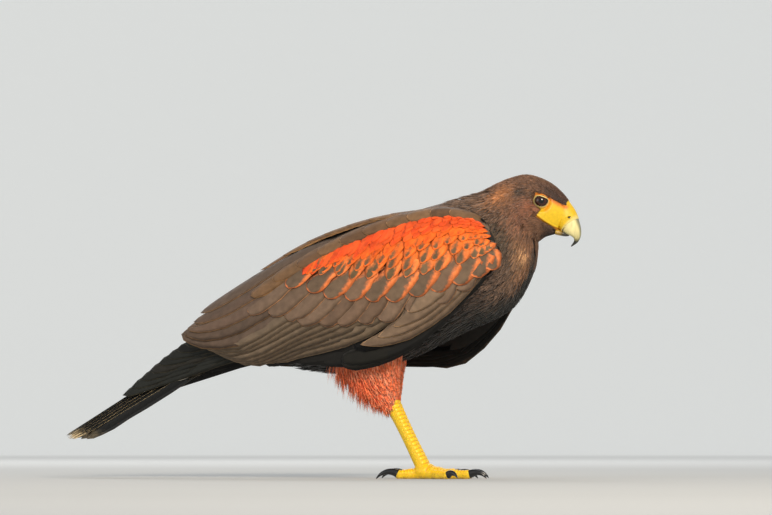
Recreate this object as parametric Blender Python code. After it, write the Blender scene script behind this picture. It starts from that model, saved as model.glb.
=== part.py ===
"""Harris's hawk, life size, standing with its wings a little lowered.

Sizes are millimetres, turned to metres where a mesh is made. +X is the way the bird faces, +Y its left side
and +Z up. The floor is z = 0. At the end all is moved so that the origin is under the middle of the bird.
"""

import math

import bmesh
import bpy
import numpy as np

MM = 0.001
GAP = 0.3
LEFT, RIGHT = 1, -1
SIDE_NAMES = {LEFT: "left", RIGHT: "right"}

# Ribs of the body: top x, top z, bottom x, bottom z, half width. They run from the tail root to the bill.
BODY_RIBS = (
    (-77, 176, -61, 131, 19),
    (-38, 209, -31, 110, 36),
    (13, 234, 23, 103, 48),
    (63, 249, 80, 114, 55),
    (108, 261, 138, 140, 56),
    (140, 270, 186, 162, 51),
    (159, 275, 208, 196, 41),
    (173, 282, 213, 217, 32),
    (188, 288, 213, 225, 28),
    (203, 291, 216, 228, 26.5),
    (216, 288, 220.5, 231, 24.5),
    (228, 282, 225, 232.5, 21),
    (237.5, 274, 229, 233.4, 16),
    (246, 264, 232, 233.8, 10.5),
)
NECK_START, HEAD_START, HEAD_END = 5.25, 7.5, 13.0

# The bill, as ribs of the same kind. Both halves start on the flat front of the head.
BILL_RIBS = (
    (246, 263, 235.1, 239, 9.4),
    (250.6, 255.5, 238.4, 236, 8.2),
    (254.4, 246.5, 242.8, 233.2, 6.6),
    (256.4, 238, 247, 231.4, 4.9),
    (256, 231, 249.4, 229.2, 3.4),
    (253, 225.4, 249.4, 226.4, 2),
    (246.6, 221, 246.2, 221.8, 0.6),
)
MANDIBLE_RIBS = (
    (234.6, 237.6, 232.4, 232.6, 7),
    (238.6, 234.6, 237.4, 231, 5.2),
    (242.4, 232.4, 241.8, 229.9, 3.2),
    (245.6, 230.8, 245.4, 229.9, 1),
)
GAPE_FROM, GAPE_TO, GAPE_SLIT = (218, 250.5), (236, 238), 0.9
NOSTRIL_AT, NOSTRIL_OUT, NOSTRIL_HALF, NOSTRIL_TILT_DEG = (246.6, 249), 8.2, (1.3, 2.4, 1.7), 20

EYE_AT, EYE_RADIUS = (221, 16.8, 264.5), 7.5
LID_RADIUS, LID_THICKNESS = 6.5, 1.1
BROW_AT, BROW_HALF, BROW_TILT_DEG = (224, 18, 271.8), (15, 5, 2.6), -20

# The thigh: front x, front z, rear x, rear z, half width, distance from the mid plane.
THIGH_RIBS = (
    (86, 154, 28, 154, 16, 30),
    (88, 136, 25, 136, 21, 32),
    (86.5, 114, 29, 110, 19.5, 33),
    (84, 97, 46, 90, 14, 32),
    (82.4, 82.5, 65, 73.5, 8.8, 30.5),
)
LEG_SETBACK = {LEFT: 13, RIGHT: 0}
TARSUS_TOP, TARSUS_FOOT = (74, 30, 78), (106.5, 28, 13)
TARSUS_DEPTH, TARSUS_WIDTH = 7.1, 5.4
PALM_AT, PALM_HALF = (109.5, 28, 6.9), (11, 9, 7.5)
# Toes: length, heading in degrees out from straight ahead, radius at the root and at the claw, claw length.
TOES = {
    "hallux": (26, 172, 5.6, 4.3, 25),
    "inner": (34, -22, 5.6, 4.3, 21),
    "middle": (45, 3, 5.8, 4.2, 20),
    "outer": (36, 37, 5.2, 3.9, 17),
}
CLAW_RISE_DEG, CLAW_FALL_DEG = 34, -58

# The folded wing is a shell between an upper and a lower edge: x, z, distance from the mid plane.
WING_TOP = (
    (177, 244, 45),
    (128, 254, 37),
    (64, 249, 26),
    (-8, 227, 17),
    (-75, 189, 12),
    (-138, 148, 10),
)
WING_LOW = {
    RIGHT: (
        (189, 221, 52),
        (183, 198, 61),
        (146, 161, 70),
        (103, 134, 74),
        (60, 124, 72),
        (-1, 121, 62),
        (-60, 111, 48),
        (-122, 133, 31),
    ),
    LEFT: (
        (190, 218, 52),
        (187, 188, 61),
        (158, 152, 70),
        (116, 124, 74),
        (64, 125, 72),
        (-1, 123, 62),
        (-60, 112, 48),
        (-122, 133, 31),
    ),
}
WING_BULGE = 5
WING_CORE_END = 0.62
WING_FLESH = 17
# Line of the longest primary, from the hand to its tip over the tail: x, z, distance from the mid plane.
PRIMARY_LINE = (
    (58, 140, 72),
    (5, 136, 61),
    (-60, 128, 46),
    (-125, 109, 33),
    (-197, 82, 25),
)

# Tiers of the folded wing. The places are (u, v) on its face: u runs back and v from the upper edge down.
# Count, roots of the first and last feather, their tips, widths, rises above the face, tilt, stations.
WING_TIERS = (
    (7, (0.56, 0.88), (0.53, 0.46), (0.83, 1.03), (0.99, 0.70), (25, 25), (-1.4, 1.2), 0.06, 5),
    (4, (0.54, 0.40), (0.48, 0.10), (1.02, 0.66), (0.94, 0.06), (30, 27), (1.9, 4.15), 0.03, 5),
    (7, (0.18, 0.66), (0.56, 0.46), (0.33, 0.91), (0.76, 0.59), (27, 31), (2.0, 2.0), 0.07, 4),
    (6, (0.14, 0.44), (0.50, 0.26), (0.27, 0.64), (0.66, 0.44), (25, 29), (2.4, 2.4), 0.07, 4),
    (4, (0.18, 0.10), (0.48, 0.10), (0.36, 0.16), (0.74, 0.16), (25, 25), (2.4, 2.4), 0.03, 4),
)
ALULA = {
    RIGHT: (3, (0.16, 0.86), (0.24, 0.74), (0.565, 0.97), (0.385, 0.85), (24, 18), (1.2, 3.2), 0.04, 5),
    LEFT: (3, (0.16, 0.86), (0.24, 0.74), (0.575, 1.10), (0.395, 0.98), (24, 18), (1.2, 3.2), 0.04, 5),
}
# Two black feathers that show below the right alula.
UNDER_ALULA = (2, (0.40, 0.95), (0.43, 0.95), (0.615, 1.11), (0.575, 1.04), (20, 20), (-3.0, -1.7), 0.04, 4)
PRIMARIES, PRIMARY_HALF_WIDTH, PRIMARY_STEP = 6, 10.5, 9.2

TAIL_ROOT, TAIL_TIP = (-77, 152), (-261, 40)
TAIL_FEATHERS = 12
TAIL_HALF_ROOT, TAIL_HALF_TIP = 14, 29
TAIL_ARCH = 11
# The flesh at the tail's root: distance back, half width, half height.
TAIL_STUMP = ((-4, 19, 22), (8, 19, 19), (22, 18, 13.5), (40, 16, 8), (58, 12, 3.5))
# Coverts over and under the tail: side, count, reach along it, rise at the root and at the tip.
TAIL_COVERTS = ((1, 4, 0.36, 15, 4.5), (-1, 5, 0.5, -14, -7.5))

# Loose feathers of the thigh: places down it, their sizes, and the height that none hangs below.
LOCK_ROWS, LOCKS_IN_ROW = (0.36, 0.56, 0.76), 5
LOCK_LENGTH, LOCK_HALF_WIDTH, LOCK_THICKNESS, LOCK_FLOOR = 18, 6.4, 1.3, 46

VANE_THICKNESS = 0.65
BODY_SIDES = 24


def through(rows, t):
    """Points of a smooth curve through the rows, at t from 0 to 1."""
    rows = np.asarray(rows, float)
    at = np.atleast_1d(np.asarray(t, float)) * (len(rows) - 1)
    i = np.clip(np.floor(at).astype(int), 0, len(rows) - 2)
    f = (at - i)[:, None]
    ends = np.vstack([2 * rows[0] - rows[1], rows, 2 * rows[-1] - rows[-2]])
    a, b, c, d = ends[i], ends[i + 1], ends[i + 2], ends[i + 3]
    return b + 0.5 * f * (c - a + f * (2 * a - 5 * b + 4 * c - d + f * (3 * (b - c) + d - a)))


def unit(v):
    v = np.asarray(v, float)
    return v / np.maximum(np.linalg.norm(v, axis=-1, keepdims=True), 1e-9)


def mesh_object(name, points, faces):
    """A mesh object from points in millimetres, with its faces turned outwards."""
    mesh = bpy.data.meshes.new(name)
    mesh.from_pydata([tuple(p) for p in np.asarray(points) * MM], [], faces)
    shape = bmesh.new()
    shape.from_mesh(mesh)
    bmesh.ops.triangulate(shape, faces=shape.faces)
    bmesh.ops.recalc_face_normals(shape, faces=shape.faces)
    if shape.calc_volume(signed=True) < 0:
        bmesh.ops.reverse_faces(shape, faces=shape.faces)
    shape.to_mesh(mesh)
    shape.free()
    made = bpy.data.objects.new(name, mesh)
    bpy.context.scene.collection.objects.link(made)
    return made


def tube(name, rings):
    """A closed body through rings of equal size, with flat ends."""
    rings = np.asarray(rings, float)
    count, around = rings.shape[:2]
    faces = [tuple(range(around))]
    for r in range(count - 1):
        for k in range(around):
            a, b = r * around + k, r * around + (k + 1) % around
            faces.append((a, b, b + around, a + around))
    faces.append(tuple(range(around * (count - 1), around * count)))
    return mesh_object(name, rings.reshape(-1, 3), faces)


def rib_rings(ribs, t, around, grow=0.0, plump=1.0):
    """Rings between the top and the bottom of each rib. A plump under 1 makes them squarer."""
    turn = 2 * math.pi * np.arange(around) / around
    up, out = np.cos(turn), np.sin(turn)
    up = np.sign(up) * np.abs(up) ** plump
    out = np.sign(out) * np.abs(out) ** plump
    rings = []
    for top_x, top_z, low_x, low_z, half in through(ribs, t):
        middle = np.array([(top_x + low_x) / 2, 0, (top_z + low_z) / 2])
        lift = np.array([top_x, 0, top_z]) - middle
        lift += unit(lift) * grow
        rings.append(middle + up[:, None] * lift + out[:, None] * np.array([0, half + grow, 0]))
    return rings


def body_span(first, last, rings, gap_first=0.0, gap_last=0.0):
    """Places along the body between two ribs, drawn back from each end by a gap in millimetres."""
    ends = np.array([first, last]) / (len(BODY_RIBS) - 1)
    centres = through(BODY_RIBS, ends)
    ahead = through(BODY_RIBS, ends + 1e-3)
    speed = np.linalg.norm(((ahead - centres)[:, :2] + (ahead - centres)[:, 2:4]) / 2, axis=1) / 1e-3
    return np.linspace(ends[0] + gap_first / speed[0], ends[1] - gap_last / speed[1], rings)


def ball(name, centre, half, tilt_deg=0.0, segments=16, rings=10):
    """An ellipsoid, tilted about the axis across the bird."""
    tilt = math.radians(tilt_deg)
    points, faces = [(0, 0, 1)], []
    for r in range(1, rings):
        down = math.pi * r / rings
        for k in range(segments):
            turn = 2 * math.pi * k / segments
            points.append((math.sin(down) * math.cos(turn), math.sin(down) * math.sin(turn), math.cos(down)))
    points.append((0, 0, -1))
    last = len(points) - 1
    for k in range(segments):
        n = (k + 1) % segments
        faces.append((0, 1 + k, 1 + n))
        faces.append((last, last - segments + n, last - segments + k))
        for r in range(rings - 2):
            a = 1 + r * segments
            faces.append((a + k, a + segments + k, a + segments + n, a + n))
    p = np.array(points) * np.array(half)
    x = p[:, 0] * math.cos(tilt) - p[:, 2] * math.sin(tilt)
    z = p[:, 0] * math.sin(tilt) + p[:, 2] * math.cos(tilt)
    return mesh_object(name, np.stack([x, p[:, 1], z], 1) + np.array(centre), faces)


def ring_round(name, centre, axis, radius, thickness, around=16, sides=5):
    """A torus round an axis, such as an eyelid."""
    axis = unit(axis)
    first = unit(np.cross(axis, (0, 0, 1)))
    second = np.cross(axis, first)
    points, faces = [], []
    for k in range(around):
        turn = 2 * math.pi * k / around
        out = first * math.cos(turn) + second * math.sin(turn)
        for s in range(sides):
            bend = 2 * math.pi * s / sides
            reach = out * (radius + thickness * math.cos(bend))
            points.append(np.array(centre) + reach + axis * thickness * math.sin(bend))
            a, b = k * sides, (k + 1) % around * sides
            n = (s + 1) % sides
            faces.append((a + s, b + s, b + n, a + n))
    return mesh_object(name, points, faces)


def apply_boolean(target, tools, operation, solver="MANIFOLD"):
    """Joins closed tools to the target, or cuts them from it, and removes the tools."""
    group = bpy.data.collections.new("tools")
    bpy.context.scene.collection.children.link(group)
    for tool in tools:
        group.objects.link(tool)
    change = target.modifiers.new("join", "BOOLEAN")
    change.operation = operation
    change.operand_type = "COLLECTION"
    change.collection = group
    change.solver = solver
    graph = bpy.context.evaluated_depsgraph_get()
    made = bpy.data.meshes.new_from_object(target.evaluated_get(graph))
    target.modifiers.remove(change)
    target.data = made
    for tool in tools:
        bpy.data.objects.remove(tool)
    bpy.data.collections.remove(group)
    return target


def keep_largest(target):
    """Keeps only the largest closed surface of a mesh."""
    shape = bmesh.new()
    shape.from_mesh(target.data)
    bmesh.ops.triangulate(shape, faces=shape.faces)
    shape.faces.ensure_lookup_table()
    seen, groups = set(), []
    for start in shape.faces:
        if start.index in seen:
            continue
        seen.add(start.index)
        group, queue = [], [start]
        while queue:
            face = queue.pop()
            group.append(face)
            for edge in face.edges:
                for other in edge.link_faces:
                    if other.index not in seen:
                        seen.add(other.index)
                        queue.append(other)
        groups.append(group)
    groups.sort(key=lambda g: abs(sum(signed_volume(f) for f in g)), reverse=True)
    for group in groups[1:]:
        bmesh.ops.delete(shape, geom=group, context="FACES")
    loose = [v for v in shape.verts if not v.link_faces]
    bmesh.ops.delete(shape, geom=loose, context="VERTS")
    shape.to_mesh(target.data)
    shape.free()
    return target


def signed_volume(face):
    a, b, c = (v.co for v in face.verts)
    return a.dot(b.cross(c)) / 6


def finish(target, colour, roughness, smooth_deg=40):
    """Gives a node its material and smooth shading."""
    paint = bpy.data.materials.new(target.name)
    paint.use_nodes = True
    shader = paint.node_tree.nodes["Principled BSDF"]
    shader.inputs["Base Color"].default_value = (*colour, 1)
    shader.inputs["Roughness"].default_value = roughness
    shader.inputs["Metallic"].default_value = 0
    target.data.materials.clear()
    target.data.materials.append(paint)
    target.data.shade_smooth()
    target.data.set_sharp_from_angle(angle=math.radians(smooth_deg))
    return target


DARK_BROWN, CHESTNUT, BLACK_BROWN = (0.055, 0.034, 0.022), (0.38, 0.075, 0.018), (0.014, 0.012, 0.012)
YELLOW, HORN, BLACK = (0.82, 0.5, 0.03), (0.42, 0.4, 0.3), (0.012, 0.012, 0.013)


# A vane follows a line on a sheet. The sheet gives points and outward normals.

STATIONS = {
    4: np.array((0, 0.5, 0.9, 1.0)),
    5: np.array((0, 0.4, 0.76, 0.93, 1.0)),
    6: np.array((0, 0.3, 0.6, 0.82, 0.95, 1.0)),
}


def vane(line, normals, half_width, thickness, tilt=0.0, root=0.4):
    """A closed feather, as a flat ribbon that is narrow at its root and pointed at its tip."""
    line = np.asarray(line, float)
    ahead = unit(np.gradient(line, axis=0))
    out = unit(normals - (normals * ahead).sum(1, keepdims=True) * ahead)
    across = np.cross(ahead, out)
    along = STATIONS[len(line)]
    shape = np.interp(along, (0, 0.2, 0.5, 0.8, 0.92, 1), (root, 0.78, 1, 0.9, 0.62, 0.16))
    wide = (half_width * shape)[:, None]
    thick = (thickness * np.interp(along, (0, 0.8, 1), (1, 0.8, 0.55)))[:, None] / 2
    rise = tilt * wide
    left = line + across * wide + out * rise
    right = line - across * wide - out * rise
    ring = [left + out * thick, right + out * thick, right - out * thick, left - out * thick]
    return tube("vane", np.stack(ring, 1))


# The body.


def torso_places(first=0.0):
    return body_span(0, NECK_START, 13, gap_first=first, gap_last=GAP / 2)


def neck_places():
    return body_span(NECK_START, HEAD_START, 6, GAP / 2, GAP / 2)


def build_body():
    finish(tube("torso", rib_rings(BODY_RIBS, torso_places(), BODY_SIDES)), BLACK_BROWN, 0.8)
    finish(tube("neck", rib_rings(BODY_RIBS, neck_places(), BODY_SIDES)), DARK_BROWN, 0.8)
    build_head()


def grown_body():
    """The torso and neck a gap larger all round, to cut what lies against them."""
    places = np.concatenate([torso_places(-GAP), neck_places()])
    return tube("grown_body", rib_rings(BODY_RIBS, places, BODY_SIDES, grow=GAP + 0.15))


def build_head():
    places = body_span(HEAD_START, HEAD_END, 11, gap_first=GAP / 2)
    head = tube("head", rib_rings(BODY_RIBS, places, BODY_SIDES, plump=0.95))
    extras, cutters = [], []
    for side in (LEFT, RIGHT):
        x, y, z = EYE_AT
        look = (0.3, side, 0.0)
        rim = math.sqrt((EYE_RADIUS + GAP) ** 2 - LID_RADIUS**2)
        centre = np.array((x, side * y, z)) + unit(look) * (rim + 0.2)
        extras.append(ring_round("lid", centre, look, LID_RADIUS + 0.5, LID_THICKNESS))
        bx, by, bz = BROW_AT
        extras.append(ball("brow", (bx, side * by, bz), BROW_HALF, BROW_TILT_DEG, 12, 6))
        cutters.append(ball("socket", (x, side * y, z), [EYE_RADIUS + GAP] * 3, 0, 14, 8))
        eye = ball("eye_" + SIDE_NAMES[side], (x, side * y, z), [EYE_RADIUS] * 3, 0, 14, 8)
        finish(eye, (0.05, 0.02, 0.01), 0.1)
    apply_boolean(head, extras, "UNION")
    (x0, z0), (x1, z1) = GAPE_FROM, GAPE_TO
    slope = math.atan2(z1 - z0, x1 - x0)
    half = math.hypot(x1 - x0, z1 - z0) / 2
    corners = np.array([(a, b) for a in (-half, half) for b in (-GAPE_SLIT / 2, GAPE_SLIT / 2)])
    x = (x0 + x1) / 2 + corners[:, 0] * math.cos(slope) - corners[:, 1] * math.sin(slope)
    z = (z0 + z1) / 2 + corners[:, 0] * math.sin(slope) + corners[:, 1] * math.cos(slope)
    order = [0, 1, 3, 2]
    slit = [[(x[k], y, z[k]) for k in order] for y in (-35, 35)]
    cutters.append(tube("slit", slit))
    apply_boolean(head, cutters, "DIFFERENCE")
    finish(keep_largest(head), DARK_BROWN, 0.8)

    bill = tube("bill_upper", rib_rings(BILL_RIBS, np.linspace(0, 1, 11), 16))
    pits = []
    for side in (LEFT, RIGHT):
        x, z = NOSTRIL_AT
        pits.append(ball("pit", (x, side * NOSTRIL_OUT, z), NOSTRIL_HALF, NOSTRIL_TILT_DEG, 8, 6))
    apply_boolean(bill, pits, "DIFFERENCE")
    finish(keep_largest(bill), HORN, 0.35)
    finish(tube("bill_lower", rib_rings(MANDIBLE_RIBS, np.linspace(0, 1, 6), 12)), HORN, 0.35)


# The legs.


def thigh_rings(side, t, around, grow=0.0):
    turn = 2 * math.pi * np.arange(around) / around
    rings = []
    ribs = np.array(THIGH_RIBS, float) - np.array((1, 0, 1, 0, 0, 0)) * LEG_SETBACK[side]
    for front_x, front_z, rear_x, rear_z, half, away in through(ribs, t):
        middle = np.array([(front_x + rear_x) / 2, side * away, (front_z + rear_z) / 2])
        reach = np.array([front_x, 0, front_z]) - np.array([middle[0], 0, middle[2]])
        reach += unit(reach) * grow
        breadth = np.array([0, half + grow, 0])
        rings.append(middle + np.cos(turn)[:, None] * reach + np.sin(turn)[:, None] * breadth)
    return rings


def thigh_locks(side):
    """Long loose feathers that hang behind and beside the thigh."""
    rng = np.random.default_rng(11)
    locks = []
    around = 40
    for row, t in enumerate(LOCK_ROWS):
        ring = np.array(thigh_rings(side, [t], around)[0])
        centre = ring.mean(0)
        for k in range(LOCKS_IN_ROW):
            turn_deg = 70 + (k + 0.5 * (row % 2)) * 50
            here = ring[round(turn_deg / 360 * around) % around]
            out = unit(here - centre)
            back = max(0.0, -out[0])
            hang = unit(np.array([-0.12 - 0.3 * back, 0.1 * out[1], -1.0]))
            size = (LOCK_LENGTH + 7 * back - 2 * row) * rng.uniform(0.85, 1.12)
            steps = STATIONS[4][:, None]
            line = here - out * 2.4 + hang * size * steps + out * (1.2 + 2.6 * steps)
            line[:, 2] = np.maximum(line[:, 2], LOCK_FLOOR)
            locks.append(vane(line, np.tile(out, (4, 1)), LOCK_HALF_WIDTH, LOCK_THICKNESS, root=0.7))
    return locks


def build_leg(side):
    name = SIDE_NAMES[side]
    thigh = tube("thigh_" + name, thigh_rings(side, np.linspace(0, 1, 8), 18))
    apply_boolean(thigh, thigh_locks(side), "UNION")
    apply_boolean(thigh, [grown_body()], "DIFFERENCE")
    finish(keep_largest(thigh), CHESTNUT, 0.8)

    set_back = np.array((LEG_SETBACK[side], 0, 0))
    top = np.array(TARSUS_TOP) * (1, side, 1) - set_back
    foot = np.array(TARSUS_FOOT) * (1, side, 1) - set_back
    down = unit(foot - top)
    front = unit(np.array([-down[2], 0, down[0]]))
    out = np.cross(down, front)
    turn = 2 * math.pi * np.arange(14) / 14

    def shank(places, widen):
        return [
            top + (foot - top) * p
            + np.cos(turn)[:, None] * front * TARSUS_DEPTH * w
            + np.sin(turn)[:, None] * out * TARSUS_WIDTH * w
            for p, w in zip(places, widen)
        ]

    length = np.linalg.norm(foot - top)
    start = GAP / length + 0.004
    split = 0.84
    tarsus = tube("tarsus_" + name, shank((start, 0.12, 0.3, 0.55, split), (1.1, 1.05, 0.98, 0.95, 1.0)))
    finish(tarsus, YELLOW, 0.5)

    stub = tube("foot_" + name, shank((split + GAP / length, 0.92, 1.0), (1.0, 1.08, 1.0)))
    palm = np.array(PALM_AT) * (1, side, 1) - set_back
    pieces = [ball("palm", palm, PALM_HALF, 0, 12, 6)]
    for name_of_toe, toe in TOES.items():
        size, heading, root, end, _ = toe
        turned = math.radians(heading)
        ahead = np.array([math.cos(turned), side * math.sin(turned), 0])
        pieces.append(build_toe(palm, ahead, size, root, end))
        build_claw(f"claw_{name_of_toe}_{name}", palm, ahead, toe)
    apply_boolean(stub, pieces, "UNION")
    flatten_sole(stub)
    finish(keep_largest(stub), YELLOW, 0.5)


def toe_line(palm, ahead, size, root, end):
    """The middle line of a toe and its radii. Three pads press on the floor, and the end lifts to the claw."""
    reach = np.array((2, 0.25 * size, 0.42 * size, 0.6 * size, 0.78 * size, 0.92 * size, size))
    swell = np.array((1.0, 1.08, 0.88, 1.02, 0.86, 1.0, 0.92))
    pressed = np.array((0.6, 0.7, 0.0, 0.8, -0.1, 0.6, -1.0))
    radius = np.linspace(root, end, len(reach)) * swell
    high = radius - pressed
    base = np.array([palm[0], palm[1], 0])
    return base + ahead * reach[:, None] + np.array([0, 0, 1]) * high[:, None], radius


def build_toe(palm, ahead, size, root, end):
    """A toe with its pads, which turns up where its claw starts."""
    line, radius = toe_line(palm, ahead, size, root, end)
    rise = np.array((0, 0, 0, 0, 0, 16, CLAW_RISE_DEG))
    return tube("toe", toe_rings(line, ahead, radius, rise, 8))


def toe_rings(line, ahead, radius, rise_deg, around):
    side = np.array([-ahead[1], ahead[0], 0])
    turn = 2 * math.pi * np.arange(around) / around
    rings = []
    for point, r, rise in zip(line, radius, np.radians(rise_deg)):
        up = np.array([0, 0, 1]) * math.cos(rise) - ahead * math.sin(rise)
        rings.append(point + np.cos(turn)[:, None] * up * r + np.sin(turn)[:, None] * side * r)
    return rings


def build_claw(name, palm, ahead, toe):
    """A claw that leaves the toe rising and curves over until its tip nears the floor."""
    size, _, root, end, claw = toe
    steps = 6
    share = np.linspace(0, 1, steps)
    pitch = np.radians(CLAW_RISE_DEG + (CLAW_FALL_DEG - CLAW_RISE_DEG) * share)
    heading = ahead * np.cos(pitch)[:, None] + np.array([0, 0, 1]) * np.sin(pitch)[:, None]
    moves = (heading[1:] + heading[:-1]) / 2 * claw / (steps - 1)
    start = toe_line(palm, ahead, size, root, end)[0][-1] + heading[0] * GAP
    line = start + np.vstack([np.zeros(3), np.cumsum(moves, axis=0)])
    radius = end * 0.86 * (1 - share) ** 0.75 + 0.3
    finish(tube(name, toe_rings(line, ahead, radius, np.degrees(pitch), 7)), BLACK, 0.3)


def flatten_sole(target):
    """Cuts the sole flat on the floor."""
    shape = bmesh.new()
    shape.from_mesh(target.data)
    cut = bmesh.ops.bisect_plane(
        shape, geom=shape.verts[:] + shape.edges[:] + shape.faces[:], plane_co=(0, 0, 0),
        plane_no=(0, 0, -1), clear_outer=True, dist=1e-7,
    )
    edges = [e for e in cut["geom_cut"] if isinstance(e, bmesh.types.BMEdge)]
    bmesh.ops.holes_fill(shape, edges=edges)
    bmesh.ops.triangulate(shape, faces=shape.faces)
    bmesh.ops.recalc_face_normals(shape, faces=shape.faces)
    shape.to_mesh(target.data)
    shape.free()


# The wings.


def wing_sheet(side, u, v, lift=0.0):
    """Points and normals of the folded wing's outer face. u runs back, v from the upper edge down."""
    u, v = np.broadcast_arrays(np.atleast_1d(np.asarray(u, float)), np.atleast_1d(np.asarray(v, float)))

    def place(u, v):
        top = through(WING_TOP, u)
        low = through(WING_LOW[side], u)
        flat = top + (low - top) * v[:, None]
        over = 1 - (1 - np.clip(v, 0, 1)) ** 2.3 + 2.3 * np.clip(v, -1, 0)
        away = top[:, 2] + (low - top)[:, 2] * over
        away += WING_BULGE * np.sin(math.pi * np.clip(v, 0, 1)) * np.clip(1.25 - u, 0, 1)
        return np.stack([flat[:, 0], side * away, flat[:, 1]], 1)

    here = place(u, v)
    back = place(u + 1e-3, v) - here
    down = place(u, v + 1e-3) - here
    out = unit(np.cross(back, down)) * side
    out *= np.sign(out[:, 1:2] * side)
    return here + out * np.asarray(lift).reshape(-1, 1), out


def wing_core(name, side, end):
    """The arm and its small feathers: a shell that is thick at the shoulder and thins to its edges."""
    across = np.linspace(0, 1, 8)
    fullness = np.interp(across, (0, 0.15, 0.5, 0.85, 1), (0.5, 1, 0.85, 0.4, 0.14))
    rings = []
    for u in np.linspace(0, end, 11):
        outer, out = wing_sheet(side, np.full(len(across), u), across)
        depth = WING_FLESH * fullness * np.interp(u, (0, 0.05, 0.35, end), (0.6, 1, 0.75, 0.14))
        inner = outer - out * np.maximum(depth, 1.4)[:, None]
        rings.append(np.vstack([outer, inner[::-1]]))
    return tube(name, rings)


def sheet_vane(side, start, stop, width, lift, tilt, stations):
    """A feather laid on the wing's face from one (u, v) to another, with its root sunk in the core."""
    share = STATIONS[stations]
    u = start[0] + (stop[0] - start[0]) * share
    v = start[1] + (stop[1] - start[1]) * share
    sunk = np.interp(share, (0, 0.22, 1), (-1.6, lift * 0.85, lift))
    line, out = wing_sheet(side, u, v, sunk)
    return vane(line, out, width / 2, VANE_THICKNESS, tilt=tilt * side)


def tier_feathers(side, tier):
    """The feathers of one tier, each between the first and the last."""
    count, first_root, last_root, first_tip, last_tip, widths, lifts, tilt, stations = tier
    feathers = []
    for f in np.linspace(0, 1, count):
        start = np.array(first_root) * (1 - f) + np.array(last_root) * f
        stop = np.array(first_tip) * (1 - f) + np.array(last_tip) * f
        width = widths[0] + (widths[1] - widths[0]) * f
        lift = lifts[0] + (lifts[1] - lifts[0]) * f
        feathers.append(sheet_vane(side, start, stop, width, lift, tilt, stations))
    return feathers


def wing_feathers(side):
    """The tiers of the folded wing, from the flight feathers beneath to the small coverts on top."""
    feathers = []
    hand = np.array(PRIMARY_LINE, float) * (1, 1, side)
    for k in range(PRIMARIES):
        share = STATIONS[6] * (1 - 0.062 * k)
        line = through(hand, share)[:, [0, 2, 1]]
        outward = unit(np.stack([share * 0, side * (1.1 - 0.2 * share), 0.1 + 0.5 * share], 1))
        ahead = unit(np.gradient(line, axis=0))
        upward = np.cross(outward, ahead) * side
        under = np.interp(share, (0, 0.25), (-0.9, 0.75 * k - 4.4))
        points = line + upward * (share * (2 + PRIMARY_STEP * k))[:, None] + outward * under[:, None]
        feathers.append(vane(points, outward, PRIMARY_HALF_WIDTH, VANE_THICKNESS))
    for tier in WING_TIERS + (ALULA[side],):
        feathers += tier_feathers(side, tier)
    if side == RIGHT:
        feathers += tier_feathers(side, UNDER_ALULA)
    return feathers


def build_wing(side):
    wing = wing_core("wing_" + SIDE_NAMES[side], side, WING_CORE_END)
    apply_boolean(wing, wing_feathers(side), "UNION")
    against = [grown_body()]
    against.append(tube("grown_thigh", thigh_rings(side, np.linspace(0, 1, 8), 18, grow=GAP + 0.15)))
    apply_boolean(wing, against, "DIFFERENCE")
    finish(keep_largest(wing), DARK_BROWN, 0.75)


# The tail.


def tail_sheet(share, across, lift=0.0):
    """Points of the arched tail. share runs from root to tip, across from -1 to 1."""
    root = np.array([TAIL_ROOT[0], 0, TAIL_ROOT[1]])
    tip = np.array([TAIL_TIP[0], 0, TAIL_TIP[1]])
    share, across = np.broadcast_arrays(np.asarray(share, float), np.asarray(across, float))
    ahead = unit(tip - root)
    up = np.array([ahead[2], 0, -ahead[0]])
    half = TAIL_HALF_ROOT + (TAIL_HALF_TIP - TAIL_HALF_ROOT) * share
    arch = TAIL_ARCH * (across**2) * (1 - 0.35 * share)
    y = np.array([0, 1.0, 0])
    points = root + (tip - root) * share[:, None] + y * (half * across)[:, None] - up * (arch - lift)[:, None]
    lean = unit(up + y * (TAIL_ARCH * across / half)[:, None])
    return points, lean


def tail_stump():
    """The flesh that the tail feathers grow from."""
    back_x, back_z = unit(np.subtract(TAIL_TIP, TAIL_ROOT))
    turn = np.radians(np.arange(0, 360, 24))
    rings = []
    for back, half, high in TAIL_STUMP:
        x = TAIL_ROOT[0] + 1.2 + back * back_x - np.sin(turn) * high * back_z
        z = TAIL_ROOT[1] - 1.5 + back * back_z - np.sin(turn) * high * back_x
        rings.append(np.stack([x, half * np.cos(turn), z], 1))
    return tube("tail", rings)


def build_tail():
    stump = tail_stump()
    feathers = []
    middle = (TAIL_FEATHERS - 1) / 2
    for k in range(TAIL_FEATHERS):
        across = (k - middle) / middle
        level = middle - abs(k - middle)
        share = 0.1 + STATIONS[6] * (0.855 + 0.045 * (1 - abs(across)) ** 0.5)
        line, out = tail_sheet(share, np.full(6, across * 0.82), np.full(6, -3.8 + 1.05 * level))
        feathers.append(vane(line, out, 10, VANE_THICKNESS, root=0.8))
    for side, count, reach, root_rise, tip_rise in TAIL_COVERTS:
        for across in np.linspace(-0.75, 0.75, count):
            share = 0.05 + STATIONS[4] * (reach * (1 - 0.2 * across**2) - 0.05)
            lift = np.interp(share, (0.05, reach), (root_rise, tip_rise))
            line, out = tail_sheet(share, np.full(4, across), lift)
            feathers.append(vane(line, out * side, 8.5, 0.8, tilt=0.08 * np.sign(across)))
    apply_boolean(stump, feathers, "UNION")
    apply_boolean(stump, [grown_body()], "DIFFERENCE")
    finish(keep_largest(stump), BLACK, 0.7)


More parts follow.
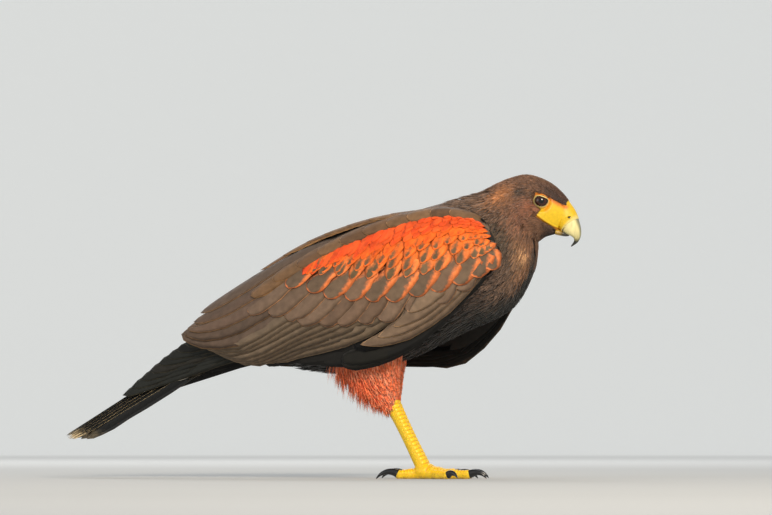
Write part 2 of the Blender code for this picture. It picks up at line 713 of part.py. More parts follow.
def move_to_origin():
    """Puts the origin on the floor, under the middle of the bird's length and breadth."""
    nodes = [thing for thing in bpy.data.objects if thing.type == "MESH"]
    corners = np.array([vertex.co for node in nodes for vertex in node.data.vertices])
    middle = (corners.min(0) + corners.max(0)) / 2
    for node in nodes:
        for vertex in node.data.vertices:
            vertex.co.x -= middle[0]
            vertex.co.y -= middle[1]


def main():
    for old in list(bpy.data.objects):
        bpy.data.objects.remove(old)
    build_body()
    build_tail()
    for side in (LEFT, RIGHT):
        build_leg(side)
        build_wing(side)
    move_to_origin()


main()
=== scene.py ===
# %% [markdown]
# This script dresses a life-size model of a Harris's hawk. The frame holds the bird's solids, such as its
# torso, wings and feet, and every piece made here covers one or more of them. Lengths are written in
# millimetres, as a taxidermist would measure them, and they become metres where a mesh is made.

# %% The frame
import math

import bmesh
import bpy
import numpy as np
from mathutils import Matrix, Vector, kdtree


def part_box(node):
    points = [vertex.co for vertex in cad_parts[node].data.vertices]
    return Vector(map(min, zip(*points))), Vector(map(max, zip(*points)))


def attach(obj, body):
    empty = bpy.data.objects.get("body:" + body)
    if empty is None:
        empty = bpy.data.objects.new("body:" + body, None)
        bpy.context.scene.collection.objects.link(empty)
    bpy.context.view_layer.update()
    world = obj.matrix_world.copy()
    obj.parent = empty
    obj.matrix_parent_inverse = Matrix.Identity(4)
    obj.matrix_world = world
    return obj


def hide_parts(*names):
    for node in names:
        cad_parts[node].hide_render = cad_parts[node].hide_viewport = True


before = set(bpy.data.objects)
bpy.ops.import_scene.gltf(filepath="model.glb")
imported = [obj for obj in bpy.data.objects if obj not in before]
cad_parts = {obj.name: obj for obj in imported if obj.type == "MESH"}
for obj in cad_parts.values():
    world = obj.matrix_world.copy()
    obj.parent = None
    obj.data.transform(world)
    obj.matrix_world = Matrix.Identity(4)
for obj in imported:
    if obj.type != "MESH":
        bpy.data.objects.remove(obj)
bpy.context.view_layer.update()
bpy.ops.object.select_all(action="DESELECT")
MM = 0.001
LEFT, RIGHT = 1, -1
SIDES = {LEFT: "left", RIGHT: "right"}
print(len(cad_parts), "solids in the frame")

# %% [markdown]
# The bird is drawn in its own coordinates: x ahead, y to its left, z up, with the floor at 0. The frame's
# origin is under the middle of the whole bird, a few millimetres away, so the eye, which has a known place
# in both, gives the shift from one to the other.

# %% From the drawing to the frame
EYE_AT, EYE_RADIUS = np.array((221, 16.8, 264.5)), 7.5
eye_low, eye_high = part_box("eye_left")
SHIFT = (np.array(eye_low) + np.array(eye_high)) / 2 - EYE_AT * MM
ASIDE, UP = np.array((0, 1.0, 0)), np.array((0, 0, 1.0))


def placed(points):
    """Points of the drawing, in millimetres, as places in the frame, in metres."""
    return np.asarray(points, float) * MM + SHIFT


def unit(v):
    return v / np.maximum(np.linalg.norm(v, axis=-1, keepdims=True), 1e-12)


def through(rows, t):
    """Points of a smooth curve through the rows, at t from 0 to 1."""
    rows = np.asarray(rows, float)
    at = np.asarray(t, float) * (len(rows) - 1)
    i = np.clip(np.floor(at).astype(int), 0, len(rows) - 2)
    f = (at - i)[..., None]
    ends = np.vstack([2 * rows[0] - rows[1], rows, 2 * rows[-1] - rows[-2]])
    a, b, c, d = ends[i], ends[i + 1], ends[i + 2], ends[i + 3]
    return b + 0.5 * f * (c - a + f * (2 * a - 5 * b + 4 * c - d + f * (3 * (b - c) + d - a)))


print("shift in mm", SHIFT / MM)

# %% [markdown]
# Colours are taken as the hex values that a paint program shows, and a shader wants them linear, so one
# function turns them. One more function adds a node to a material, with its settings and its links. The
# scale of a texture is worked out from the size that its pattern has on the bird.

# %% Colours and nodes
def linear(hex_colour):
    c = np.array([int(hex_colour[i:i + 2], 16) for i in (1, 3, 5)]) / 255
    return np.where(c <= 0.04045, c / 12.92, ((c + 0.055) / 1.055) ** 2.4)


def add(tree, kind, inputs=None, **settings):
    """Adds one node. A value in inputs that is a socket is linked, and any other is set."""
    node = tree.nodes.new("ShaderNode" + kind)
    for name, value in settings.items():
        setattr(node, name, value)
    for key, value in (inputs or {}).items():
        if isinstance(value, bpy.types.NodeSocket):
            tree.links.new(value, node.inputs[key])
        else:
            node.inputs[key].default_value = value
    return node


def new_material(name):
    """An empty material. Returns it, its node tree and its surface shader."""
    material = bpy.data.materials.new(name)
    material.use_nodes = True
    tree = material.node_tree
    return material, tree, tree.nodes["Principled BSDF"]


def repeats(size_mm):
    """A texture's scale, from the size of its pattern in millimetres."""
    return 1 / (size_mm * MM)


def blend_colours(first, second, share):
    share = np.asarray(share)[..., None]
    return first * (1 - share) + second * share


print("white is", linear("#FFFFFF"))

# %% [markdown]
# The camera comes first, because it settles what the picture shows. It looks at the bird's right side from
# 15 degrees ahead of square, a little from below, from far off with a long lens, as a bird photographer does.
# It stays above the floor.

# %% Camera
VIEW_TURN_DEG, VIEW_RISE_DEG, VIEW_DISTANCE = 15, -2.5, 4.0
VIEW_TARGET = placed((59.5, 15.9, 213.9))
LENS_MM, SENSOR_MM = 192.3, 36

turn, rise = math.radians(VIEW_TURN_DEG), math.radians(VIEW_RISE_DEG)
outwards = np.array([math.sin(turn) * math.cos(rise), -math.cos(turn) * math.cos(rise), math.sin(rise)])
bpy.ops.object.camera_add(location=VIEW_TARGET + outwards * VIEW_DISTANCE)
camera = bpy.context.object
camera.rotation_euler = (math.radians(90) - rise, 0, turn)
camera.data.lens = LENS_MM
camera.data.sensor_width = SENSOR_MM
camera.data.clip_end = 100
bpy.context.scene.camera = camera
print("camera height in mm", round(camera.location.z / MM))

# %% [markdown]
# The stage is a pale round floor whose rim curves up far away into a backdrop. Three large soft lamps light
# it: a key from the front and right, a weaker fill from the left and one from behind. The key has a hood that
# narrows its beam, or the floor in front of the bird would be much brighter than the floor under it.

# %% Floor and backdrop
FLOOR_RADIUS, RIM_HEIGHT, RIM_STEPS = 9.0, 5.0, 12

bpy.ops.mesh.primitive_circle_add(vertices=96, radius=FLOOR_RADIUS, fill_type="NGON")
floor = bpy.context.object
floor.name = "studio_floor"
bpy.ops.object.mode_set(mode="EDIT")
bpy.ops.mesh.select_all(action="SELECT")
for step in range(RIM_STEPS):
    low, high = (math.radians(90 * s / RIM_STEPS) for s in (step, step + 1))
    wider = (FLOOR_RADIUS + RIM_HEIGHT * math.sin(high)) / (FLOOR_RADIUS + RIM_HEIGHT * math.sin(low))
    higher = RIM_HEIGHT * (math.cos(low) - math.cos(high))
    if step == 0:
        bpy.ops.mesh.select_mode(type="EDGE")
        bpy.ops.mesh.region_to_loop()
    bpy.ops.mesh.extrude_edges_move(TRANSFORM_OT_translate={"value": (0, 0, higher)})
    bpy.ops.transform.resize(value=(wider, wider, 1), center_override=(0, 0, 0))
bpy.ops.mesh.select_all(action="SELECT")
bpy.ops.mesh.normals_make_consistent(inside=False)
if floor.data.polygons[0].normal.z < 0:
    bpy.ops.mesh.flip_normals()
bpy.ops.object.mode_set(mode="OBJECT")
bpy.ops.object.shade_smooth()
print(len(floor.data.polygons), "faces in the floor and backdrop")

# %% Paint of the floor
FLOOR_TINT, BACKDROP_TINT, BACKDROP_GLOW = "#C6C7C6", "#E4E5E3", 0.33
FADE_FROM, FADE_TO = 1.2, 5.7

# The floor stays in its lamps' light near the bird, and far away it fades into the evenly lit backdrop.
plaster, tree, shader = new_material("matt studio paint")
place = add(tree, "TexCoord")
away = add(tree, "VectorMath", {0: place.outputs["Object"]}, operation="LENGTH")
far = add(tree, "MapRange", {"Value": away.outputs["Value"], "From Min": FADE_FROM, "From Max": FADE_TO})
glow = add(tree, "Math", {0: far.outputs["Result"], 1: BACKDROP_GLOW}, operation="MULTIPLY")
tone = add(tree, "Mix", {"Factor": far.outputs["Result"], "A": (*linear(FLOOR_TINT), 1),
                         "B": (*linear(BACKDROP_TINT), 1)}, data_type="RGBA")
tree.links.new(tone.outputs["Result"], shader.inputs["Base Color"])
tree.links.new(tone.outputs["Result"], shader.inputs["Emission Color"])
tree.links.new(glow.outputs[0], shader.inputs["Emission Strength"])
shader.inputs["Roughness"].default_value = 1.0
shader.inputs["Specular IOR Level"].default_value = 0.0
floor.data.materials.append(plaster)
print(plaster.name, "fades from", FADE_FROM, "to", FADE_TO, "m")

# %% Lamps and room light
AIM_HEIGHT, ROOM_STRENGTH = 0.17, 0.62
LAMPS = {
    # place, size, watts, spread in degrees, colour
    "key": ((2.2, -3.4, 1.9), 1.2, 20.5, 60, "#FFF2DE"),
    "fill": ((-2.4, -2.4, 1.0), 2.0, 22, 180, "#F4F8FF"),
    "back": ((-0.9, 2.4, 2.2), 2.0, 34, 180, "#FFFFFF"),
}
for name, (spot, size, watts, spread_deg, colour) in LAMPS.items():
    bpy.ops.object.light_add(type="AREA", location=spot)
    lamp = bpy.context.object
    lamp.name = name + "_light"
    lamp.data.size = size
    lamp.data.energy = watts
    lamp.data.spread = math.radians(spread_deg)
    lamp.data.color = linear(colour)
    away = np.array(spot) - (0, 0, AIM_HEIGHT)
    tip = math.acos(away[2] / np.linalg.norm(away))
    lamp.rotation_euler = (tip, 0, math.atan2(away[1], away[0]) + math.pi / 2)
world = bpy.data.worlds.new("soft room light")
bpy.context.scene.world = world
world.use_nodes = True
room = world.node_tree.nodes["Background"]
room.inputs["Color"].default_value = (*linear("#E6E8EA"), 1)
room.inputs["Strength"].default_value = ROOM_STRENGTH
bpy.context.scene.view_settings.view_transform = "Standard"
print(len(LAMPS), "lamps")

# %% [markdown]
# The body is one form from the rump to the bill. It follows the frame's own ribs: each has a top, a bottom
# and a half width, and a smooth curve runs through them. A place on it is a rib number and a turn from the
# top, and the same numbers place the skin, every feather and every marking.

# %% Body form
BODY_RIBS = (
    (-77, 176, -61, 131, 19),
    (-38, 209, -31, 110, 36),
    (13, 234, 23, 103, 48),
    (63, 249, 80, 114, 55),
    (108, 261, 138, 140, 56),
    (140, 270, 186, 162, 51),
    (159, 275, 208, 196, 41),
    (173, 282, 213, 217, 32),
    (188, 288, 213, 225, 28),
    (203, 291, 216, 228, 26.5),
    (216, 288, 220.5, 231, 24.5),
    (228, 282, 225, 232.5, 21),
    (237.5, 274, 229, 233.4, 16),
    (246, 264, 232, 233.8, 10.5),
)
LAST_RIB = len(BODY_RIBS) - 1
COAT_RIBS = (0, 3, 5, 6.5, 7.5, 9, 11, 13)
COAT_DEPTH = (5, 5, 4.5, 3.6, 2.6, 1.9, 1.5, 1.0)


def coat_depth(rib):
    return np.interp(rib, COAT_RIBS, COAT_DEPTH)


def body_place(rib, turn, sink=0.0):
    """A place on the body form, by rib and turn, as far under it as sink."""
    rows = through(BODY_RIBS, rib / LAST_RIB)
    middle = (rows[..., 0:2] + rows[..., 2:4]) / 2
    reach = (rows[..., 0:2] - rows[..., 2:4]) / 2
    reach = reach - unit(reach) * np.asarray(sink)[..., None]
    up, out = np.cos(turn), np.sin(turn)
    flat = middle + reach * up[..., None]
    return np.stack([flat[..., 0], out * (rows[..., 4] - sink), flat[..., 1]], -1)


print("the back at rib 4 is", body_place(np.array([4.0]), np.array([0.0])).round(), "mm")

# %% [markdown]
# A hawk's face has bare yellow skin from the eye to the bill. It is drawn as an outline in side view, and a
# signed distance to that outline says how far a point lies inside or outside it. The brow and the mouth are
# lines in the same view.

# %% Face outlines
BARE_OUTLINE = (
    (215.2, 266.7), (216.3, 272.9), (222.5, 272.2), (228.3, 269.4), (236.5, 264.9), (243.3, 260.6),
    (247, 258.7), (252, 256), (270, 245), (262, 225), (239.5, 236.2), (235.1, 236.6), (223.6, 244.3),
    (216.9, 249.8), (219.3, 252.4), (221.4, 256.2), (217.4, 259.6),
)
BROW_LINE = ((207, 277.0), (216, 276.6), (225, 273.4), (234, 268.4), (242, 262.8))
MOUTH_LINE = ((217.4, 250.3), (223.6, 244.9), (230, 240.4), (237.5, 236.6))


def line_distance(points, line):
    """Distance of points to a line of straight runs, in one plane."""
    points, line = np.asarray(points, float), np.asarray(line, float)
    best = np.full(points.shape[:-1], 1e9)
    for a, b in zip(line[:-1], line[1:]):
        run = b - a
        share = np.clip(((points - a) @ run) / (run @ run), 0, 1)
        best = np.minimum(best, np.linalg.norm(points - a - share[..., None] * run, axis=-1))
    return best


def inside_distance(points, outline):
    """Distance to a closed outline, positive inside it."""
    points = np.asarray(points, float)
    closed = np.array(outline + outline[:1], float)
    inside = np.zeros(points.shape[:-1], bool)
    x, z = points[..., 0], points[..., 1]
    for (x0, z0), (x1, z1) in zip(closed[:-1], closed[1:]):
        crosses = (z0 > z) != (z1 > z)
        inside ^= crosses & (x < (x1 - x0) * (z - z0) / np.where(z1 == z0, 1e-9, z1 - z0) + x0)
    away = line_distance(points, closed)
    return np.where(inside, away, -away)


def side_view(points):
    """Points as the side view shows them: ahead and up."""
    return np.asarray(points)[..., [0, 2]]


def smooth(x, low, high):
    """0 below low, 1 above high, and a soft step between."""
    share = np.clip((x - low) / (high - low), 0, 1)
    return share * share * (3 - 2 * share)


print("the nostril lies", inside_distance(np.array([246.6, 249.0]), BARE_OUTLINE).round(1), "mm inside")

# %% [markdown]
# The markings are soft patches of colour on the body form: a brown crown, a rusty nape and cheek, a dark
# line behind the eye, pale streaks at the throat, and a breast that turns from mottled brown to black. The
# breast and belly are dark in life, and the near-black of the underside is partly painted shade. The skin
# and the feathers ask the same function for their colour, so they always agree.

# %% Markings of the body
MANTLE, DARK_BREAST_AND_SHADE = linear("#624A38"), linear("#141310")
CROWN, FOREHEAD, RUST = linear("#6F4D36"), linear("#4E3427"), linear("#B0713F")
PATCHES = (
    # colour, rib, degrees from the top, spread in ribs, spread in degrees, strength
    (RUST, 7.8, 52, 0.8, 14, 0.75),
    (linear("#3A3026"), 9.0, 64, 0.55, 9, 0.85),
    (linear("#95593A"), 9.8, 92, 0.9, 13, 0.8),
    (linear("#7A4E38"), 8.4, 105, 0.8, 22, 0.7),
    (linear("#B98A5E"), 7.1, 138, 0.5, 13, 0.8),
    (linear("#A9744C"), 6.5, 152, 0.6, 8, 0.6),
    (linear("#38342A"), 6.4, 98, 0.6, 20, 0.85),
    (linear("#5C483C"), 5.3, 122, 0.9, 20, 0.9),
    (linear("#2C2720"), 12.0, 180, 2.2, 34, 0.9),
    (linear("#3B2A22"), 12.0, 44, 1.6, 14, 0.8),
)


def body_tint(rib, turn):
    degrees = np.degrees(np.abs((turn + math.pi) % (2 * math.pi) - math.pi))
    head = smooth(rib, 6.0, 8.0)
    tint = blend_colours(MANTLE, CROWN, head)
    tint = blend_colours(tint, FOREHEAD, smooth(rib, 10, 12.5))
    # Dark in life and deepened by painted shade: the underside and the lower breast turn near-black.
    under = smooth(degrees, 78, 98) * (1 - smooth(rib, 4.8, 5.6))
    front = smooth(degrees, 140, 158) * (1 - smooth(rib, 6.8, 8.2))
    tint = blend_colours(tint, DARK_BREAST_AND_SHADE, np.maximum(under, front))
    for colour, at_rib, at_turn, wide, tall, strength in PATCHES:
        near = np.exp(-(((rib - at_rib) / wide) ** 2 + ((degrees - at_turn) / tall) ** 2))
        tint = blend_colours(tint, colour, near * strength)
    return tint


print(len(PATCHES), "patches")

# %% Colours of the bare face
BARE_YELLOW, BARE_ORANGE, LID_PALE = linear("#E6BC14"), linear("#D8701E"), linear("#DFC77E")
EYE_CORNER = ((226.5, 269.5), (229.5, 262.5), (226.5, 256.5))
BARE_TOP = ((216, 271), (222, 270.4), (229, 266.8), (237, 262.2), (243.5, 258.8))


def face_tint(points):
    """Bare skin is lemon towards the bill, and orange under the brow, before the eye and along the mouth."""
    flat = side_view(points)
    warm = 0.95 * np.exp(-((line_distance(flat, BARE_TOP) / 2.3) ** 2))
    warm = np.maximum(warm, 0.6 * np.exp(-((line_distance(flat, EYE_CORNER) / 2.4) ** 2)))
    lip = np.exp(-(((line_distance(flat, MOUTH_LINE) - 0.2) / 1.0) ** 2))
    warm = np.maximum(warm, 0.7 * lip)
    return blend_colours(np.tile(BARE_YELLOW, (len(points), 1)), BARE_ORANGE, np.clip(warm, 0, 0.9))


print("bare skin is", BARE_YELLOW.round(3), "to", BARE_ORANGE.round(3))

# %% [markdown]
# The skin is one closed form under all the feathers. It starts as a sphere whose rings are drawn out along
# the ribs, in edit mode, with most of them in the head. There it gets its real folds: a socket for each eye,
# a brow that overhangs it, and the lips of the mouth. It lies inside the solids by the depth of the coat,
# and comes up to the surface where the face is bare. The first cell has the helpers that reshape a primitive
# and store values on its points.

# %% Helpers of a piece
def reshape(name, place):
    """Names the new primitive and moves its points in edit mode. Returns the piece and its first points."""
    piece = bpy.context.object
    piece.name = name
    bpy.ops.object.mode_set(mode="EDIT")
    mesh = bmesh.from_edit_mesh(piece.data)
    first = np.array([v.co for v in mesh.verts])
    for vertex, point in zip(mesh.verts, placed(place(first))):
        vertex.co = point
    bmesh.update_edit_mesh(piece.data)
    bpy.ops.mesh.select_all(action="SELECT")
    bpy.ops.mesh.normals_make_consistent(inside=False)
    bpy.ops.object.mode_set(mode="OBJECT")
    bpy.ops.object.shade_smooth()
    return piece, first


def sphere_numbers(co):
    """The share of the way from pole to pole, and the turn, of points of a sphere."""
    return np.arccos(np.clip(co[:, 2], -1, 1)) / math.pi, np.arctan2(co[:, 1], co[:, 0])


def shaped_sphere(name, segments, rings, shape, tint=None):
    """A sphere drawn out by shape(share, turn), and coloured by tint of the same."""
    bpy.ops.object.select_all(action="DESELECT")
    bpy.ops.mesh.primitive_uv_sphere_add(segments=segments, ring_count=rings, radius=1)
    piece, first = reshape(name, lambda co: shape(*sphere_numbers(co)))
    if tint:
        paint(piece, "tint", tint(*sphere_numbers(first)))
    return piece


def points_of(piece):
    """A piece's points in the drawing's millimetres."""
    co = np.zeros(len(piece.data.vertices) * 3)
    piece.data.vertices.foreach_get("co", co)
    return (co.reshape(-1, 3) - SHIFT) / MM


def paint(piece, name, colours):
    """Stores one colour for each point of a piece."""
    store = piece.data.attributes.new(name, "FLOAT_COLOR", "POINT")
    rows = np.ones((len(piece.data.vertices), 4))
    rows[:, :3] = colours
    store.data.foreach_set("color", rows.ravel().astype(np.float32))


def mark(piece, name, values, domain="POINT"):
    """Stores one number for each point, or for each face, of a piece."""
    store = piece.data.attributes.new(name, "FLOAT", domain)
    store.data.foreach_set("value", np.asarray(values, np.float32))


def middle_of(place, along, turn):
    """The middle between a form's top and its bottom."""
    return (place(along, turn * 0) + place(along, turn * 0 + math.pi)) / 2


print("helpers ready")

# %% Socket, brow and lips
LOOK = unit(np.array((0.3, 1.0, 0.0)))
LID_HALF, LID_DROOP, LID_SLOPE, LID_INNER, LID_OUTER = (6.1, 5.1), 3.7, 0.36, 7.6, 11.5
CORNEA_RISE, CORNEA_DEG = 0.5, 38
SOCKET_DEPTH, LID_OFF_BALL = 2.6, 0.35
BROW_OUT, BROW_DOWN, BROW_SPREAD = 2.6, 0.6, 2.2
LIP_SWELL, LIP_FROM_MOUTH, MOUTH_DEPTH = 0.55, 1.5, 1.3


def lid_opening(ahead, above):
    """Reach of the eye's opening in one direction. The upper lid cuts it with a line that slopes ahead."""
    ring = 1 / np.hypot(ahead / LID_HALF[0], above / LID_HALF[1])
    line = LID_DROOP / np.maximum(above + LID_SLOPE * ahead, 0.05)
    return -0.5 * np.log(np.exp(-2 * ring) + np.exp(-2 * line))


def ball_depth(ring):
    """How far the eyeball's face lies ahead of its centre, at a distance from the line of sight."""
    flat = np.sqrt(np.clip(EYE_RADIUS**2 - ring**2, 1, None))
    angle = np.degrees(np.arcsin(np.clip(ring / EYE_RADIUS, 0, 1)))
    return flat + CORNEA_RISE * np.exp(-((angle / CORNEA_DEG) ** 4))


def eye_coordinates(points):
    """Depth along the line of sight, distance from it and share of the eye's opening.

    The eye is the left one, and points of the right side count as their mirror image."""
    off = points * (1, 0, 1) + np.abs(points) * (0, 1, 0) - EYE_AT
    depth = off @ LOOK
    flat = off - depth[:, None] * LOOK
    ring = np.linalg.norm(flat, axis=1) + 1e-9
    forward = np.array((LOOK[1], -LOOK[0], 0))
    return depth, ring, ring / lid_opening(flat @ forward / ring, flat[:, 2] / ring)


def brow_bump(points):
    """The ridge over the eye, which lifts the skin and its feathers alike."""
    near = np.exp(-((line_distance(side_view(points), BROW_LINE) / BROW_SPREAD) ** 2))
    near = near * (np.abs(points[..., 1]) > 5)
    aside = np.sign(points[..., 1])
    return near[..., None] * np.stack([aside * 0, aside * BROW_OUT, aside * 0 - BROW_DOWN], -1)


def face_relief(points):
    """Moves points of the head to make its sockets, brows and lips."""
    side = np.sign(points[:, 1:2]) + (points[:, 1:2] == 0)
    mirror = np.hstack([np.ones_like(side), side, np.ones_like(side)])
    p = points * mirror
    depth, ring, share = eye_coordinates(p)
    wanted = ball_depth(ring) + LID_OFF_BALL - SOCKET_DEPTH * (1 - smooth(share, 0.86, 1.02))
    dent = (depth - wanted) * (1 - smooth(ring, LID_INNER, LID_OUTER)) * (depth > 0)
    p -= LOOK * np.maximum(dent, -1.5)[:, None]
    p += brow_bump(p)
    mouth = line_distance(side_view(p), MOUTH_LINE)
    lips = LIP_SWELL * np.exp(-(((mouth - LIP_FROM_MOUTH) / 0.9) ** 2))
    lips = lips - MOUTH_DEPTH * np.exp(-((mouth / 0.6) ** 2))
    p[:, 1] += lips * (np.abs(p[:, 1]) > 6)
    p[:, 1] = np.maximum(p[:, 1], 0)
    return p * mirror


print("the line of sight is", LOOK.round(2))


# %% Skin of the body
def coat_place(rib, turn):
    """The outside of the coat: the body form with its brows."""
    flat = body_place(rib, turn)
    return flat + brow_bump(flat)


def skin_shape(share, turn):
    """The skin under the coat. It closes at both ends, and its face is bare."""
    rib = np.interp(share, (0, 0.03, 0.25, 0.37, 0.985, 1), (0.0, 0.05, 5.25, 7.5, 13.1, 13.1))
    shrink = np.interp(share, (0, 0.01, 0.03, 0.985, 0.992, 1), (0, 0.75, 1, 1, 0.85, 0))
    flat = body_place(rib, turn)
    bare = smooth(inside_distance(side_view(flat), BARE_OUTLINE), -0.6, 1.4) * (rib > 7)
    sink = coat_depth(rib) * (1 - bare) + 0.5 * bare
    centre = middle_of(body_place, rib, turn)
    return face_relief(centre + (body_place(rib, turn, sink) - centre) * shrink[:, None])


skin = shaped_sphere("skin", 224, 200, skin_shape)
print(len(skin.data.polygons), "faces of skin")

# %% [markdown]
# The thighs, the root of the tail and the arms of the wings are forms of the same kind, each with its own
# pair of numbers for a place on it. A wing's arm is a shell: its outer face follows the folded wing, and its
# inner face lies deeper, most of all near the shoulder, where it runs into the body as the real arm does.

# %% Form of a thigh
THIGH_RIBS = (
    (86, 154, 28, 154, 16, 30),
    (88, 136, 25, 136, 21, 32),
    (86.5, 114, 29, 110, 19.5, 33),
    (84, 97, 46, 90, 14, 32),
    (82.4, 82.5, 65, 73.5, 8.8, 30.5),
)
LEG_SETBACK = {LEFT: 13, RIGHT: 0}


def thigh_place(side, down, turn, sink=0.0):
    """A place on a thigh, by the share of the way down and the turn from its front."""
    rows = through(THIGH_RIBS, down)
    middle = (rows[..., 0:2] + rows[..., 2:4]) / 2
    reach = (rows[..., 0:2] - rows[..., 2:4]) / 2
    reach = reach - unit(reach) * np.asarray(sink)[..., None]
    flat = middle + reach * np.cos(turn)[..., None]
    y = side * rows[..., 5] + np.sin(turn) * (rows[..., 4] - sink)
    return np.stack([flat[..., 0] - LEG_SETBACK[side], y, flat[..., 1]], -1)


print("a thigh is", 2 * THIGH_RIBS[0][4], "mm wide at its top")

# %% Face of a folded wing
WING_TOP = (
    (177, 244, 45),
    (128, 254, 37),
    (64, 249, 26),
    (-8, 227, 17),
    (-75, 189, 12),
    (-138, 148, 10),
)
WING_LOW = {
    RIGHT: (
        (189, 221, 52), (183, 198, 61), (146, 161, 70), (103, 134, 74),
        (60, 124, 72), (-1, 121, 62), (-60, 111, 48), (-122, 133, 31),
    ),
    LEFT: (
        (190, 218, 52), (187, 188, 61), (158, 152, 70), (116, 124, 74),
        (64, 125, 72), (-1, 123, 62), (-60, 112, 48), (-122, 133, 31),
    ),
}
WING_BULGE = 5
# Above its upper edge, where v is less than 0, the wing's face hardly rises and turns inwards over the back.
TOP_BEND, INWARD = 0.15, 90


def wing_place(side, u, v):
    """A place on the folded wing's outer face: u runs from the shoulder back, v from the upper edge down."""
    top, low = through(WING_TOP, u), through(WING_LOW[side], u)
    flat = top + (low - top) * np.where(v < 0, v * TOP_BEND, v)[..., None]
    over = 1 - (1 - np.clip(v, 0, 1)) ** 2.3
    away = top[..., 2] + (low - top)[..., 2] * over + INWARD * np.clip(v, -1, 0)
    away = away + WING_BULGE * np.sin(math.pi * np.clip(v, 0, 1)) * np.clip(1.25 - u, 0, 1)
    return np.stack([flat[..., 0], side * away, flat[..., 1]], -1)


print("the middle of the shoulder is at", wing_place(RIGHT, np.array([0.0]), np.array([0.5])).round())

# %% Arm of a wing
ARM_END, NOSE_END = 0.62, 0.06
ARM_FLESH, ROOT_FLESH, ARM_SINK = 15, 9, 2.2
STEP = 1e-3


def steps(place, a, b):
    """How a form moves over a small step of each of its two numbers."""
    return place(a + STEP, b) - place(a - STEP, b), place(a, b + STEP) - place(a, b - STEP)


def facing(place, a, b):
    """Unit normals of a form."""
    return unit(np.cross(*steps(place, a, b)))


def slopes(place, a, b):
    """Millimetres that a form covers for one unit of each of its two numbers."""
    along, around = steps(place, a, b)
    return np.linalg.norm(along, axis=-1) / (2 * STEP), np.linalg.norm(around, axis=-1) / (2 * STEP)


def arm_place(side, u, turn, sink=0.0):
    """Turn runs over the outer face from the upper edge down, 0 to 180 degrees, and back inside."""
    def face(a, b):
        return wing_place(side, a, b)

    v = (1 - np.cos(turn)) / 2
    half_way = v * 0 + 0.5
    flesh = ARM_FLESH * np.interp(u, (0, 0.08, 0.35, ARM_END), (0.8, 1, 0.7, 0.12))
    root = ROOT_FLESH * np.exp(-(((u - 0.24) / 0.13) ** 2 + ((v - 0.15) / 0.25) ** 2))
    inside = np.clip(-np.sin(turn), 0, 1)
    p = face(u, v) - facing(face, u, v) * -side * (sink + inside * (flesh + root - sink))[..., None]
    middle = face(u, half_way) - facing(face, u, half_way) * (-side * flesh / 2)[..., None]
    nose = np.sqrt(np.clip(1 - (1 - np.clip(u / NOSE_END, 0, 1)) ** 2, 0, 1))
    end = np.clip((ARM_END - u) / 0.02, 0, 1) ** 0.5
    return middle + (p - middle) * (nose * end)[..., None]


print("the arm is", ARM_FLESH, "mm deep and ends at", ARM_END, "of the wing")

# %% Form of the tail
TAIL_ROOT, TAIL_TIP = np.array((-77.0, 0, 152)), np.array((-261.0, 0, 40))
TAIL_AHEAD = unit(TAIL_TIP - TAIL_ROOT)
TAIL_UP = np.array((TAIL_AHEAD[2], 0, -TAIL_AHEAD[0]))
TAIL_HALF_ROOT, TAIL_HALF_TIP, TAIL_ARCH = 14, 29, 11
STUMP = ((-30, 17, 20), (-4, 18, 20), (8, 18, 17), (22, 17, 12), (40, 15, 7), (58, 11, 3.0))


def tail_place(share, across):
    """A place on the tail: share runs from its root to its tip, across from -1 to 1."""
    half = TAIL_HALF_ROOT + (TAIL_HALF_TIP - TAIL_HALF_ROOT) * share
    arch = TAIL_ARCH * across**2 * (1 - 0.35 * share)
    along = TAIL_ROOT + (TAIL_TIP - TAIL_ROOT) * share[..., None]
    return along + ASIDE * (half * across)[..., None] - TAIL_UP * arch[..., None]


def stump_shape(share, turn):
    """The flesh at the tail's root."""
    rows = through(STUMP, share)
    ends = np.sqrt(np.clip(np.minimum(share, 1 - share) / 0.06, 0, 1))[..., None]
    across = np.cos(turn)[..., None] * rows[..., 1:2] * ASIDE
    above = np.sin(turn)[..., None] * rows[..., 2:3] * TAIL_UP
    return TAIL_ROOT - TAIL_UP * 1.5 + TAIL_AHEAD * rows[..., 0:1] + (across + above) * ends


print("the tail is", np.linalg.norm(TAIL_TIP - TAIL_ROOT).round(), "mm long")

# %% [markdown]
# All the flesh is joined into the one skin with a Boolean, so no seam shows where the legs and wings leave
# the body. The markings are painted on its points afterwards, each from the nearest place of its own form.

# %% One skin
def pole_ends(share):
    """Shrinks a form to a point at both of its ends."""
    return np.sqrt(np.clip(np.minimum(share, 1 - share) / 0.05, 0, 1))


def thigh_shape(side):
    def place(down, turn):
        return thigh_place(side, down, turn)

    def shape(share, turn):
        down = share * 1.02
        centre = middle_of(place, down, turn)
        p = thigh_place(side, down, turn, np.interp(share, (0, 0.8, 1), (4.5, 3.5, 1.5)))
        return centre + (p - centre) * pole_ends(share)[:, None]
    return shape


def arm_shape(side):
    return lambda share, turn: arm_place(side, share * ARM_END, turn, ARM_SINK)


limbs = [shaped_sphere("tail_root", 48, 32, stump_shape)]
for side in SIDES:
    limbs.append(shaped_sphere("thigh_form", 72, 56, thigh_shape(side)))
    limbs.append(shaped_sphere("arm_form", 72, 96, arm_shape(side)))
for limb in limbs:
    bpy.ops.object.select_all(action="DESELECT")
    skin.select_set(True)
    bpy.context.view_layer.objects.active = skin
    join = skin.modifiers.new("join", "BOOLEAN")
    join.operation, join.solver, join.object = "UNION", "MANIFOLD", limb
    bpy.ops.object.modifier_apply(modifier="join")
    bpy.data.objects.remove(limb)
bpy.ops.object.shade_smooth()
print(len(skin.data.polygons), "faces in the one skin")
